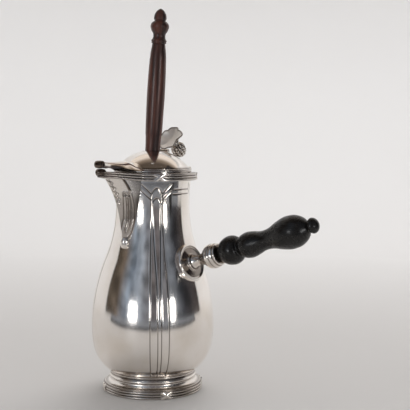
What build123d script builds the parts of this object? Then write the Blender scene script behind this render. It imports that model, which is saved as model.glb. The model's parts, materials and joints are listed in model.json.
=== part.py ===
from build123d import *
import os
from math import cos, radians, sin, sqrt, tan

# Side-handled chocolate pot with a hinged lid, a flip-up finial and a wooden stirrer.
# Millimetres. The origin is the centre of the circle that the foot stands on and +Z is up.
# The spout points along -Y, the handle along +X, and the lid hinge is at the back, +Y.

# ---------------------------------------------------------------- driving dimensions
# body
sheet = 1.2                    # silver sheet of the body, spout and lid
foot_joint_z = 15.6            # the body sits in the foot here
foot_joint_r = 33.8
low_belly_r = 46.9             # the belly tightens below this point
low_belly_z = 36.0
belly_r = 48.2
belly_z = 50.5
shoulder_arc_r = 105.6         # hollow curve between neck and belly
neck_r = 28.9
neck_z = 146.0
mouth_r = 30.2                 # straight outer wall behind the rim moulding
mouth_z = 172.0
bottom_sag = 1.6               # the bottom is raised a little in its middle

# foot
foot_r = 39.5
foot_rim_h = 6.0
foot_rim_t = 3.4
foot_flare_z = 10.2            # top of the hollow flare
foot_flare_r = 32.6
foot_collar_r = 33.6
foot_sheet = 1.4
foot_step = 1.2                # the rim's top shows this much outside the flare
joint_lap = 0.2                # the foot laps the body's edge by this, and rises above the joint
joint_rise = 0.5
reed_count = 3
tie_width = 2.2
tie_proud = 0.7
tie_angle = 34.0               # lean of each ribbon from the moulding's own direction
tie_count = 4
tie_half_span = 7.0
foot_tie_deg = -35.0
rim_tie_deg = -41.0

# rim moulding and spout
rim_h = 6.0
rim_t = 4.5
rim_back = 0.8                 # the ring's flat back runs into the mouth's wall
lip_back = 4.0                 # and the lip's into the spout's cheeks
spout_tip_r = 60.6             # inside of the lip moulding
lip_rise_deg = 3.4             # the lip climbs towards its tip
lip_h = 4.6
spout_root_depth = 4.9         # spout sections start this far inside the neck
# From the drop up to the lip: height, half width inside the neck, how far the keel stands out
# from the neck, and how full the arch is, from 1 (round cheeks) to 0 (a straight V).
spout_stations = (
    (118.5, 5.6, 6.1, 1.0),
    (129.0, 7.2, 8.1, 1.0),
    (140.0, 8.4, 10.5, 1.0),
    (152.0, 10.2, 15.1, 0.8),
    (164.0, 12.8, 22.5, 0.35),
    (175.0, 14.6, 32.5, 0.0),
)
cheek_lean = 1.15              # the sheet's thickness measured across the leaning cheeks
keel_lean = 1.5                # and along the keel
spout_channel_z = 123.0        # the channel opens from the neck above this height
spout_root_half = 13.4
lip_root_depth = 1.9           # the straight cheeks of the lip leave the neck this far in
drop_r = 3.5
drop_sink = 0.55               # share of its radius that the drop sinks behind the keel
drop_half_length = 5.2
drop_z = 119.4

# handle
handle_z = 103.0               # where the handle's line meets the body
handle_seat_r = 38.2
handle_rise_deg = 18.0
boss_r = 14.5
boss_t = 2.4
boss_edge_t = 0.7              # the boss's face is dished between its beaded edge and the stem
boss_bead_r = 1.0
stem_r = 4.2
stem_foot_r = 5.4
cup_r = 9.5
cup_mouth = 26.4               # distances along the handle from its seat on the body
tenon_r = 5.2
tenon_depth = 4.6
collar_r = 10.7
collar_at = 38.5
collar_end = 48.8
grip_neck_r = 6.4
bulge_r = 9.7
bulge_at = 57.7
grip_waist_r = 7.2
grip_waist_at = 72.2
bulb_r = 12.0
bulb_at = 95.0
grip_end = 109.6
button_r = 5.7
button_at = 112.6
handle_end = 117.4
wood_gap = 0.1
pin_r = 0.8
pin_half_length = 8.0

# lid
lid_seat_gap = 0.3
lid_edge_r = 30.6
lid_edge_h = 2.8
dome_r = 29.0
dome_top_z = 189.6
bezel_gap = 0.7
bezel_depth = 5.0
bezel_t = 1.0
bezel_cut_half_deg = 27.0
bezel_cut_reach = 40.0
hole_r = 7.5
hole_collar_h = 3.0
hole_collar_t = 0.9
beak_reach = 60.5
beak_root_half = 13.0
beak_tip_half = 1.9
beak_stations = (              # distance from the axis along -Y and height of the ridge
    (-20.0, 184.0),
    (-34.0, 181.6),
    (-47.0, 180.6),
    (-beak_reach, 180.6),
)
curl_reach = 62.4
curl_z = 179.2
curl_r = 3.3
curl_half = 3.0

# lid hinge
barrel_r = 2.3
barrel_gap = 0.35              # between the barrel and the rim moulding
hinge_pin_r = 1.0
pin_clearance = 0.05
knuckle_w = 5.2
knuckle_gap = 0.3
hinge_leaf_t = 1.2
hinge_leaf_w = 5.0

# finial cap
cap_r = 11.5
cap_wall_h = 2.8
cap_rise = 3.4
cap_sheet = 0.9
cap_seat_gap = 0.3
cap_open_deg = 130.0
cap_barrel_r = 1.5
cap_pin_r = 0.7
cap_knuckle_w = 3.4
calyx_r = 4.6
calyx_h = 4.2
bud_r = 5.9
bud_h = 12.6
bud_neck_r = 2.6
bud_ribs = 12
rib_depth = 0.5

# stirrer
stirrer_lean_deg = 5.5
stirrer_lean_dir_deg = -12.5    # it leans towards the handle
stirrer_top_z = 298.4
shaft_hole_r = 5.9             # at the lid
shaft_thick_r = 7.0
shaft_thick_z = 236.0
shaft_low_r = 4.4
ring_r = 6.0
ring_z = 273.5
ring_half_h = 1.7
under_ring_r = 5.0
ball_r = 7.2
ball_z = 284.5
ball_neck_r = 4.7
acorn_r = 4.8
acorn_z = 291.2
head_r = 6.9
head_h = 27.0
head_core_r = 5.0
head_tier_count = 3
head_notches = 8
head_notch_w = 1.8
head_tier_gap = 1.8
rest_gap = 0.3


# ---------------------------------------------------------------- places worked out from them
spout_root_in = neck_r - spout_root_depth
spout_root_y = -(neck_r - lip_root_depth)
lip_run = spout_tip_r + spout_root_y
lip_slope = tan(radians(lip_rise_deg))
lip_top_z = mouth_z + lip_run * lip_slope
lip_plane = Plane(origin=(0, spout_root_y, mouth_z), x_dir=(1, 0, 0), z_dir=(0, lip_slope, 1))
reed_r = rim_h / (2 * reed_count)
rim_outer_r = mouth_r + rim_t
rim_bottom_z = mouth_z - rim_h

lid_bottom_z = mouth_z + lid_seat_gap
dome_base_z = lid_bottom_z + lid_edge_h
bezel_r = mouth_r - sheet - bezel_gap
dome_rise = dome_top_z - dome_base_z
dome_ball_r = (dome_r**2 + dome_rise**2) / (2 * dome_rise)

hinge_y = rim_outer_r + barrel_gap + barrel_r
hinge_z = lid_bottom_z + barrel_r - 1.0
knuckle_pitch = knuckle_w + knuckle_gap

handle_axis = Vector(cos(radians(handle_rise_deg)), 0, sin(radians(handle_rise_deg)))
stirrer_axis = Vector(
    sin(radians(stirrer_lean_deg)) * cos(radians(stirrer_lean_dir_deg)),
    sin(radians(stirrer_lean_deg)) * sin(radians(stirrer_lean_dir_deg)),
    cos(radians(stirrer_lean_deg)),
)
stirrer_across = Vector(-sin(radians(stirrer_lean_dir_deg)), cos(radians(stirrer_lean_dir_deg)), 0)


def dome_z(radius):
    """Height of the lid's outer surface at a distance from its axis."""
    return dome_top_z - dome_ball_r + sqrt(dome_ball_r**2 - radius**2)


cap_hinge_y = cap_r + cap_barrel_r + 0.3
cap_hinge_z = dome_z(cap_hinge_y) + cap_barrel_r + 0.3
cap_base = dome_z(cap_r - cap_sheet) + cap_seat_gap - cap_hinge_z
cap_knuckle_pitch = cap_knuckle_w + knuckle_gap

# The open cap is drawn as if shut, on a plane turned back about its hinge.
cap_axis = Vector(0, sin(radians(cap_open_deg)), cos(radians(cap_open_deg)))
cap_back = Vector(0, cos(radians(cap_open_deg)), -sin(radians(cap_open_deg)))
cap_hinge = Vector(0, cap_hinge_y, cap_hinge_z)
cap_centre = cap_hinge - cap_back * cap_hinge_y
cap_profile_plane = Plane(origin=cap_centre, x_dir=(1, 0, 0), z_dir=-cap_back)
cap_hinge_plane = Plane(origin=cap_hinge, x_dir=cap_back, z_dir=(1, 0, 0))
cap_turning_axis = Axis(cap_centre, cap_axis)


# ---------------------------------------------------------------- shared shapes
def body_turns(inset):
    """Points where the body's arcs meet, from the foot joint up, drawn in by a wall."""
    # The belly's arc is the one that meets the shoulder's without a kink.
    height = neck_z - belly_z
    spread = neck_r + shoulder_arc_r - belly_r
    belly_arc_r = (spread**2 + height**2 - shoulder_arc_r**2) / (2 * (shoulder_arc_r - spread))
    share = (shoulder_arc_r + inset) / (shoulder_arc_r + belly_arc_r)
    return [
        (foot_joint_r - inset * 0.6, foot_joint_z + inset * 0.8),
        (low_belly_r - inset * 0.98, low_belly_z + inset * 0.19),
        (belly_r - inset, belly_z),
        (neck_r + shoulder_arc_r - (spread + belly_arc_r) * share, neck_z - height * share),
        (neck_r - inset, neck_z),
        (mouth_r - inset, mouth_z - rim_h),
    ]


def body_solid(inset, top):
    """The space inside the body's outline, from its bottom to the given height."""
    joint, low_belly, belly, shoulder, neck, mouth = body_turns(inset)
    with BuildPart(mode=Mode.PRIVATE) as solid:
        with BuildSketch(Plane.YZ):
            with BuildLine():
                TangentArc(neck, mouth, tangent=(0, 1))
                hollow = TangentArc(neck, shoulder, tangent=(0, -1))
                TangentArc(shoulder, belly, tangent=hollow % 1)
                tuck = TangentArc(belly, low_belly, tangent=(0, -1))
                TangentArc(low_belly, joint, tangent=tuck % 1)
                Polyline(mouth, (mouth[0], top), (0, top), (0, joint[1] + bottom_sag))
                ThreePointArc(
                    (0, joint[1] + bottom_sag),
                    (joint[0] / 2, joint[1] + bottom_sag * 0.75),
                    joint,
                )
            make_face()
        revolve(axis=Axis.Z)
    return solid.part


def spout_section(z, half, reach, fullness):
    """A pointed arch from inside the neck to the keel, from straight (0) to full (1)."""
    start = -spout_root_in
    length = reach - spout_root_in
    cheek = (half * (0.5 + 0.5 * fullness), start - length * (0.5 - 0.06 * fullness))
    with BuildSketch(Plane.XY.offset(z), mode=Mode.PRIVATE) as section:
        with BuildLine():
            Line((-half, start), (half, start))
            Bezier((half, start), cheek, (0, -reach))
            Bezier((0, -reach), (-cheek[0], cheek[1]), (-half, start))
        make_face()
    return section.sketch


def spout_solid(inset):
    """The spout's outside, or its channel when drawn in by the sheet."""
    with BuildPart(mode=Mode.PRIVATE) as solid:
        for z, half, stand_out, fullness in spout_stations:
            reach = neck_r + stand_out - inset * keel_lean
            add(spout_section(z, half - inset * cheek_lean, reach, fullness))
        loft()
        if inset > 0:
            split(bisect_by=Plane.XY.offset(spout_channel_z), keep=Keep.TOP)
    return solid.part


def reeded_section(plane, inner, height):
    """A wall with half-round reeds on its outer side, from the plane's origin outwards."""
    reed = height / (2 * reed_count)
    crest = rim_t - reed
    with BuildSketch(plane, mode=Mode.PRIVATE) as section:
        with Locations(((crest - inner) / 2, height / 2)):
            Rectangle(crest + inner, height)
        with Locations((crest, height / 2)):
            with GridLocations(0, 2 * reed, 1, reed_count):
                Circle(reed)
    return section.sketch


def crossed_tie(outer_r, low_z, high_z, angle):
    """Two thin ribbons crossed over a round moulding at one angle about the axis."""
    radial = Vector(cos(radians(angle)), sin(radians(angle)), 0)
    tangent = Vector(-radial.Y, radial.X, 0)
    middle = radial * outer_r + Vector(0, 0, (low_z + high_z) / 2)
    with BuildPart(mode=Mode.PRIVATE) as tie:
        with BuildSketch(Plane.XZ):
            with Locations((outer_r + 0.02 + tie_proud / 2, (low_z + high_z) / 2)):
                RectangleRounded(tie_proud, high_z - low_z, tie_proud * 0.3)
        revolve(axis=Axis.Z)
        with BuildSketch(Plane(origin=middle, x_dir=tangent, z_dir=radial)):
            Rectangle(4 * tie_half_span, tie_width, rotation=tie_angle)
            Rectangle(4 * tie_half_span, tie_width, rotation=-tie_angle)
        extrude(amount=3 * tie_proud, both=True, mode=Mode.INTERSECT)
    return tie.part


def save(part, name):
    """Label a finished piece and write it under its own name."""
    part.label = name
    export_step(part, f"parts/{name}.step")


os.makedirs("parts", exist_ok=True)
body_outside = body_solid(0, mouth_z)
spout_outside = spout_solid(0)
spout_channel = spout_solid(sheet)

# ---------------------------------------------------------------- body
with BuildPart() as vessel_body:
    add(body_outside)
    add(body_solid(sheet, mouth_z + 1), mode=Mode.SUBTRACT)
    add(spout_channel, mode=Mode.SUBTRACT)
save(vessel_body.part, "vessel_body")

with BuildPart() as spout:
    add(spout_outside)
    split(bisect_by=lip_plane, keep=Keep.BOTTOM)
    add(body_outside, mode=Mode.SUBTRACT)
    add(spout_channel, mode=Mode.SUBTRACT)
save(spout.part, "spout")

# The rounded drop that ends the spout's keel
drop_reach = neck_r + spout_stations[0][2] - drop_r * drop_sink
drop_centre = Vector(0, -drop_reach, drop_z)
with BuildPart() as spout_drop:
    with BuildSketch(Plane(origin=drop_centre, x_dir=(1, 0, 0), z_dir=(0, -1, 0))):
        with BuildLine():
            Line((0, -drop_half_length), (0, drop_half_length))
            Spline(
                (0, drop_half_length),
                (drop_r, -drop_half_length * 0.25),
                (0, -drop_half_length),
                tangents=[(0.9, -0.45), (-1, 0)],
            )
        make_face()
    revolve(axis=Axis(drop_centre, (0, 0, 1)))
    add(body_outside, mode=Mode.SUBTRACT)
    add(spout_outside, mode=Mode.SUBTRACT)
save(spout_drop.part, "spout_drop")

# ---------------------------------------------------------------- foot
with BuildPart() as foot:
    with BuildSketch(Plane.XZ):
        with BuildLine():
            Polyline(
                (foot_joint_r + joint_lap, foot_joint_z + joint_rise),
                (foot_joint_r - foot_sheet, foot_joint_z + joint_rise),
                (foot_flare_r - foot_sheet, foot_flare_z),
            )
            Bezier(
                (foot_flare_r - foot_sheet, foot_flare_z),
                (foot_flare_r - foot_sheet, foot_rim_h),
                (foot_r - foot_step - foot_sheet, foot_rim_h),
            )
            Line((foot_r - foot_step - foot_sheet, foot_rim_h), (foot_r - foot_step, foot_rim_h))
            Bezier(
                (foot_r - foot_step, foot_rim_h),
                (foot_flare_r + 0.3, foot_rim_h + 0.5),
                (foot_flare_r, foot_flare_z),
            )
            ThreePointArc(
                (foot_flare_r, foot_flare_z),
                (foot_collar_r + 0.6, (foot_flare_z + foot_joint_z) / 2),
                (foot_joint_r + joint_lap, foot_joint_z + joint_rise),
            )
        make_face()
    revolve(axis=Axis.Z)
    add(body_outside, mode=Mode.SUBTRACT)
save(foot.part, "foot")

foot_reed_plane = Plane(origin=(foot_r - rim_t, 0, 0), x_dir=(1, 0, 0), z_dir=(0, -1, 0))
with BuildPart() as foot_rim:
    add(reeded_section(foot_reed_plane, foot_rim_t - rim_t, foot_rim_h))
    revolve(axis=Axis.Z)
save(foot_rim.part, "foot_rim")

for index in range(tie_count):
    turn = 360 * index / tie_count
    foot_tie = crossed_tie(foot_r, 0.4, foot_rim_h - 0.2, foot_tie_deg + turn)
    save(foot_tie, f"foot_tie_{index + 1}")

# ---------------------------------------------------------------- rim moulding round the mouth and lip
lip_direction = Vector(-spout_root_half, -lip_run, 0).normalized()
lip_outward = Vector(lip_run, -spout_root_half, 0).normalized()
lip_root = Vector(spout_root_half, spout_root_y, rim_bottom_z) - lip_direction * lip_back
lip_tip = Vector(0, -spout_tip_r, lip_top_z - lip_h)
nose_half_deg = 90 - Vector(0, -1, 0).get_angle(lip_direction)
with BuildPart() as rim_moulding:
    ring_plane = Plane(origin=(mouth_r, 0, rim_bottom_z), x_dir=(1, 0, 0), z_dir=(0, -1, 0))
    add(reeded_section(ring_plane, rim_back, rim_h))
    revolve(axis=Axis.Z)
    add(reeded_section(Plane(origin=lip_root, x_dir=lip_outward, z_dir=lip_direction), lip_back, rim_h))
    add(reeded_section(Plane(origin=lip_tip, x_dir=lip_outward, z_dir=lip_direction), lip_back, lip_h))
    loft()
    mirror(about=Plane.YZ)
    add(reeded_section(Plane(origin=lip_tip, x_dir=lip_outward, z_dir=lip_direction), 0, lip_h))
    revolve(axis=Axis(lip_tip, (0, 0, -1)), revolution_arc=2 * nose_half_deg)
    add(body_solid(0, mouth_z + rim_t), mode=Mode.SUBTRACT)
    add(spout_outside, mode=Mode.SUBTRACT)
save(rim_moulding.part, "rim_moulding")

for index in range(tie_count):
    turn = 360 * index / tie_count
    rim_tie = crossed_tie(rim_outer_r, rim_bottom_z + 0.2, mouth_z - 0.2, rim_tie_deg + turn)
    save(rim_tie, f"rim_tie_{index + 1}")

# ---------------------------------------------------------------- handle
handle_seat = Vector(handle_seat_r, 0, handle_z)
handle_plane = Plane(origin=handle_seat, x_dir=handle_axis, z_dir=(0, -1, 0))
handle_turning_axis = Axis(handle_seat, handle_axis)
pin_seat = handle_seat + handle_axis * (cup_mouth - tenon_depth / 2)
boss_dish_r = boss_r - 2 * boss_bead_r
boss_dish_rise = (boss_t - boss_edge_t) / 4
handle_pin_plane = Plane(origin=pin_seat, x_dir=handle_axis, z_dir=(0, 1, 0))

with BuildPart() as handle_boss:
    with BuildSketch(handle_plane):
        with BuildLine():
            Polyline(
                (boss_t, 0),
                (-boss_r * 0.5, 0),
                (-boss_r * 0.5, boss_r),
                (boss_edge_t, boss_r),
                (boss_edge_t, boss_dish_r),
            )
            ThreePointArc(
                (boss_edge_t, boss_dish_r),
                (boss_edge_t + boss_dish_rise, (boss_dish_r + stem_foot_r) / 2),
                (boss_t, stem_foot_r),
            )
            Line((boss_t, stem_foot_r), (boss_t, 0))
        make_face()
        with Locations((boss_edge_t, boss_r - boss_bead_r)):
            Circle(boss_bead_r)
    revolve(axis=handle_turning_axis)
    add(body_outside, mode=Mode.SUBTRACT)
save(handle_boss.part, "handle_boss")

with BuildPart() as handle_socket:
    with BuildSketch(handle_plane):
        with BuildLine():
            Line((boss_t, 0), (boss_t, stem_foot_r))
            Spline(
                (boss_t, stem_foot_r),
                (boss_t + 5, stem_r),
                (cup_mouth - 7.5, stem_r + 1.4),
                (cup_mouth - 1.6, cup_r - 0.4),
                tangents=[(0.9, -0.5), (0.7, 0.7)],
            )
            ThreePointArc(
                (cup_mouth - 1.6, cup_r - 0.4),
                (cup_mouth - 0.6, cup_r),
                (cup_mouth, cup_r - 0.5),
            )
            Polyline(
                (cup_mouth, cup_r - 0.5),
                (cup_mouth, tenon_r + wood_gap),
                (cup_mouth - tenon_depth, tenon_r + wood_gap),
                (cup_mouth - tenon_depth, 0),
                (boss_t, 0),
            )
        make_face()
    revolve(axis=handle_turning_axis)
    with BuildSketch(handle_pin_plane):
        Circle(pin_r)
    extrude(amount=2 * cup_r, both=True, mode=Mode.SUBTRACT)
save(handle_socket.part, "handle_socket")

with BuildPart() as handle_grip:
    with BuildSketch(handle_plane):
        with BuildLine():
            Polyline(
                (cup_mouth - tenon_depth + wood_gap, 0),
                (cup_mouth - tenon_depth + wood_gap, tenon_r),
                (cup_mouth + wood_gap, tenon_r),
                (cup_mouth + wood_gap, cup_r - 1.2),
            )
            ThreePointArc(
                (cup_mouth + wood_gap, cup_r - 1.2),
                (collar_at, collar_r),
                (collar_end, grip_neck_r),
            )
            Spline(
                (collar_end, grip_neck_r),
                (bulge_at, bulge_r),
                (grip_waist_at, grip_waist_r),
                (bulb_at, bulb_r),
                (grip_end, button_r * 0.6),
                tangents=[(0.7, 0.7), (0.2, -1)],
            )
            Spline(
                (grip_end, button_r * 0.6),
                (button_at, button_r),
                (handle_end, 0),
                tangents=[(0.2, 1), (0, -1)],
            )
            Line((handle_end, 0), (cup_mouth - tenon_depth + wood_gap, 0))
        make_face()
    revolve(axis=handle_turning_axis)
    with BuildSketch(handle_pin_plane):
        Circle(pin_r)
    extrude(amount=2 * cup_r, both=True, mode=Mode.SUBTRACT)
save(handle_grip.part, "handle_grip")

with BuildPart() as handle_pin:
    with BuildSketch(handle_pin_plane):
        Circle(pin_r)
    extrude(amount=pin_half_length, both=True)
save(handle_pin.part, "handle_pin")

# ---------------------------------------------------------------- lid
with BuildPart() as lid_edge:
    with BuildSketch(Plane.XZ):
        with Locations(((bezel_r + lid_edge_r) / 2, lid_bottom_z + lid_edge_h / 2)):
            Rectangle(lid_edge_r - bezel_r, lid_edge_h)
        fillet(vertices().sort_by(Axis.X)[-2:], lid_edge_h * 0.4)
    revolve(axis=Axis.Z)
save(lid_edge.part, "lid_edge")


def dome_solid(inset):
    """The space inside the lid's dome, from its base up."""
    ball_r = dome_ball_r - inset
    middle = dome_r * 0.6 - inset * 0.5
    with BuildPart(mode=Mode.PRIVATE) as solid:
        with BuildSketch(Plane.YZ):
            with BuildLine():
                ThreePointArc(
                    (0, dome_top_z - inset),
                    (middle, dome_top_z - dome_ball_r + sqrt(ball_r**2 - middle**2)),
                    (dome_rim_r(inset), dome_base_z),
                )
                Polyline(
                    (dome_rim_r(inset), dome_base_z),
                    (0, dome_base_z),
                    (0, dome_top_z - inset),
                )
            make_face()
        revolve(axis=Axis.Z)
    return solid.part


def dome_rim_r(inset):
    """Radius of the dome's surface at its base, drawn in by a wall."""
    below_top = dome_base_z - (dome_top_z - dome_ball_r)
    return sqrt((dome_ball_r - inset) ** 2 - below_top**2)


def beak_solid(inset):
    """The roof over the spout, or the space under it when drawn in by the sheet."""
    with BuildPart(mode=Mode.PRIVATE) as solid:
        for y, ridge_z in beak_stations:
            along = (beak_reach + y) / (beak_reach + spout_root_y)
            half = beak_tip_half + (beak_root_half - beak_tip_half) * along
            half = max(half - inset, beak_tip_half * 0.3)
            base_z = mouth_z + (-y + spout_root_y) * lip_slope + lid_seat_gap - inset
            top_z = ridge_z - inset
            with BuildSketch(Plane(origin=(0, y, 0), x_dir=(1, 0, 0), z_dir=(0, -1, 0))):
                with BuildLine():
                    Line((-half, base_z), (half, base_z))
                    Line((half, base_z), (half, base_z + (top_z - base_z) * 0.3))
                    Bezier(
                        (half, base_z + (top_z - base_z) * 0.3),
                        (half * 0.55, top_z),
                        (0, top_z),
                    )
                    Bezier(
                        (0, top_z),
                        (-half * 0.55, top_z),
                        (-half, base_z + (top_z - base_z) * 0.3),
                    )
                    Line((-half, base_z + (top_z - base_z) * 0.3), (-half, base_z))
                make_face()
        loft()
    return solid.part


dome_outside = dome_solid(0)

with BuildPart() as lid_dome:
    add(dome_outside)
    add(dome_solid(sheet), mode=Mode.SUBTRACT)
    with BuildSketch(Plane.XY.offset(dome_base_z)):
        Circle(hole_r)
    extrude(amount=dome_rise + 1, mode=Mode.SUBTRACT)
save(lid_dome.part, "lid_dome")

with BuildPart() as lid_bezel:
    with BuildSketch(Plane.XY.offset(lid_bottom_z - bezel_depth)):
        Circle(bezel_r)
        Circle(bezel_r - bezel_t, mode=Mode.SUBTRACT)
    extrude(amount=bezel_depth + lid_edge_h)
    with BuildSketch(Plane.XY.offset(lid_bottom_z - bezel_depth)):
        with BuildLine():
            Polyline(
                (0, 0),
                (bezel_cut_reach * sin(radians(bezel_cut_half_deg)), -bezel_cut_reach),
                (-bezel_cut_reach * sin(radians(bezel_cut_half_deg)), -bezel_cut_reach),
                close=True,
            )
        make_face()
    extrude(amount=bezel_depth, mode=Mode.SUBTRACT)
save(lid_bezel.part, "lid_bezel")

with BuildPart() as hole_collar:
    with BuildSketch(Plane.XY.offset(dome_z(hole_r) - hole_collar_h - sheet)):
        Circle(hole_r + hole_collar_t)
        Circle(hole_r, mode=Mode.SUBTRACT)
    extrude(amount=hole_collar_h + sheet)
    add(dome_solid(sheet), mode=Mode.INTERSECT)
save(hole_collar.part, "hole_collar")

with BuildPart() as lid_beak:
    add(beak_solid(0))
    add(beak_solid(sheet), mode=Mode.SUBTRACT)
    with BuildSketch(Plane(origin=(0, -curl_reach, curl_z), x_dir=(1, 0, 0), z_dir=(0, 0, 1))):
        with BuildLine():
            Line((-curl_half, 0), (curl_half, 0))
            ThreePointArc((curl_half, 0), (0, curl_r), (-curl_half, 0))
        make_face()
    revolve(axis=Axis((0, -curl_reach, curl_z), (1, 0, 0)))
    add(dome_outside, mode=Mode.SUBTRACT)
    add(lid_edge.part, mode=Mode.SUBTRACT)
    with BuildSketch(Plane.XY.offset(lid_bottom_z - bezel_depth)):
        Circle(lid_edge_r - 0.5)
    extrude(amount=bezel_depth + lid_edge_h, mode=Mode.SUBTRACT)
save(lid_beak.part, "lid_beak")

# ---------------------------------------------------------------- lid hinge, at the back
bracket_half = 1.5 * knuckle_w + knuckle_gap
bracket_top = hinge_z - barrel_r - knuckle_gap


def across(centre_x, y, z):
    """A plane square to X, for what turns on a hinge pin."""
    return Plane(origin=(centre_x, y, z), x_dir=(0, 1, 0), z_dir=(1, 0, 0))


def barrel(centre_x, width, radius):
    """One cylinder along the lid hinge's pin."""
    with BuildPart(mode=Mode.PRIVATE) as piece:
        with BuildSketch(across(centre_x, hinge_y, hinge_z)):
            Circle(radius)
        extrude(amount=width / 2, both=True)
    return piece.part


with BuildPart() as hinge_bracket:
    for side in (-1, 1):
        add(barrel(side * knuckle_pitch, knuckle_w, barrel_r))
        with BuildSketch(across(side * knuckle_pitch, hinge_y, hinge_z)):
            with Locations((0, -barrel_r)):
                Rectangle(2 * barrel_r, 2 * barrel_r)
        extrude(amount=knuckle_w / 2, both=True)
    with BuildSketch(Plane.XY.offset(rim_bottom_z + 0.6)):
        with Locations((0, hinge_y - barrel_r)):
            Rectangle(2 * bracket_half, 4 * barrel_r)
    extrude(amount=bracket_top - rim_bottom_z - 0.6)
    add(barrel(0, 4 * knuckle_pitch, hinge_pin_r + pin_clearance), mode=Mode.SUBTRACT)
    add(rim_moulding.part, mode=Mode.SUBTRACT)
    with BuildSketch(Plane.XY.offset(rim_bottom_z)):
        Circle(rim_outer_r - reed_r)
    extrude(amount=2 * rim_h, mode=Mode.SUBTRACT)
save(hinge_bracket.part, "hinge_bracket")

with BuildPart() as lid_knuckle:
    add(barrel(0, knuckle_w, barrel_r))
    with BuildSketch(Plane.XY.offset(hinge_z - hinge_leaf_t / 2)):
        with Locations((0, (lid_edge_r + hinge_y) / 2 - 1)):
            Rectangle(hinge_leaf_w, hinge_y - lid_edge_r + 2)
    extrude(amount=hinge_leaf_t)
    add(barrel(0, 2 * knuckle_w, hinge_pin_r + pin_clearance), mode=Mode.SUBTRACT)
    add(lid_edge.part, mode=Mode.SUBTRACT)
    with BuildSketch(Plane.XY.offset(lid_bottom_z)):
        Circle(lid_edge_r - 0.6)
    extrude(amount=lid_edge_h, mode=Mode.SUBTRACT)
save(lid_knuckle.part, "lid_knuckle")
save(barrel(0, 2 * bracket_half + 1.2, hinge_pin_r), "hinge_pin")

# ---------------------------------------------------------------- finial cap and its hinge, lying open


def cap_barrel(centre_x, width, radius):
    """One cylinder along the cap hinge's pin."""
    with BuildPart(mode=Mode.PRIVATE) as piece:
        with BuildSketch(across(centre_x, cap_hinge_y, cap_hinge_z)):
            Circle(radius)
        extrude(amount=width / 2, both=True)
    return piece.part


with BuildPart() as cap_lugs:
    for side in (-1, 1):
        add(cap_barrel(side * cap_knuckle_pitch, cap_knuckle_w, cap_barrel_r))
        with BuildSketch(across(side * cap_knuckle_pitch, cap_hinge_y, cap_hinge_z)):
            with Locations((0, -cap_barrel_r)):
                Rectangle(1.6 * cap_barrel_r, 2 * cap_barrel_r)
        extrude(amount=cap_knuckle_w / 2, both=True)
    add(cap_barrel(0, 4 * cap_knuckle_pitch, cap_pin_r + pin_clearance), mode=Mode.SUBTRACT)
    add(dome_outside, mode=Mode.SUBTRACT)
save(cap_lugs.part, "cap_lugs")
save(cap_barrel(0, 3 * cap_knuckle_w + 2 * knuckle_gap + 0.8, cap_pin_r), "cap_pin")

cap_wall_top = cap_base + cap_wall_h
cap_crown = cap_wall_top + cap_rise
with BuildPart() as finial_cap:
    with BuildSketch(cap_profile_plane):
        with BuildLine():
            Line((0, cap_crown), (0, cap_crown - cap_sheet))
            Bezier(
                (0, cap_crown - cap_sheet),
                (cap_r * 0.75, cap_crown - cap_sheet),
                (cap_r - cap_sheet, cap_wall_top - cap_sheet * 0.4),
            )
            Line((cap_r - cap_sheet, cap_wall_top - cap_sheet * 0.4), (cap_r - cap_sheet, cap_base))
            Line((cap_r - cap_sheet, cap_base), (cap_r, cap_base))
            Line((cap_r, cap_base), (cap_r, cap_wall_top))
            Bezier((cap_r, cap_wall_top), (cap_r * 0.75, cap_crown), (0, cap_crown))
        make_face()
    revolve(axis=cap_turning_axis)
    add(cap_barrel(0, cap_knuckle_w, cap_barrel_r))
    with BuildSketch(cap_hinge_plane):
        with Locations((-(cap_barrel_r + 0.3 + cap_sheet) / 2, 0)):
            Rectangle(cap_barrel_r + 0.3 + cap_sheet, 1.2)
    extrude(amount=cap_knuckle_w / 2, both=True)
    add(cap_barrel(0, 2 * cap_knuckle_w, cap_pin_r + pin_clearance), mode=Mode.SUBTRACT)
save(finial_cap.part, "finial_cap")

with BuildPart() as finial_calyx:
    with BuildSketch(cap_profile_plane):
        with BuildLine():
            Line((0, cap_crown), (0, cap_crown + calyx_h))
            Line((0, cap_crown + calyx_h), (calyx_r * 0.8, cap_crown + calyx_h))
            ThreePointArc(
                (calyx_r * 0.8, cap_crown + calyx_h),
                (calyx_r, cap_crown + calyx_h - 0.5),
                (calyx_r * 0.92, cap_crown + calyx_h - 1.1),
            )
            Spline(
                (calyx_r * 0.92, cap_crown + calyx_h - 1.1),
                (bud_neck_r, cap_crown + calyx_h * 0.4),
                (bud_neck_r + 1.4, cap_crown),
                tangents=[(-0.8, -0.6), (0.9, -0.4)],
            )
            Line((bud_neck_r + 1.4, cap_crown), (0, cap_crown))
        make_face()
    revolve(axis=cap_turning_axis)
    add(finial_cap.part, mode=Mode.SUBTRACT)
save(finial_calyx.part, "finial_calyx")


def bud_outline(inset):
    """The bud's closed half outline on its profile plane, drawn in by a rib's depth."""
    base = cap_crown + calyx_h
    with BuildLine() as outline:
        Line((0, base + bud_h - inset), (0, base))
        Line((0, base), (calyx_r * 0.7 - inset, base))
        Spline(
            (calyx_r * 0.7 - inset, base),
            (bud_r - inset, base + bud_h * 0.42),
            (bud_r * 0.5 - inset * 0.5, base + bud_h * 0.86),
            (0, base + bud_h - inset),
            tangents=[(0.8, 0.6), (-1, 0.15)],
        )
    return outline.line


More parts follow.
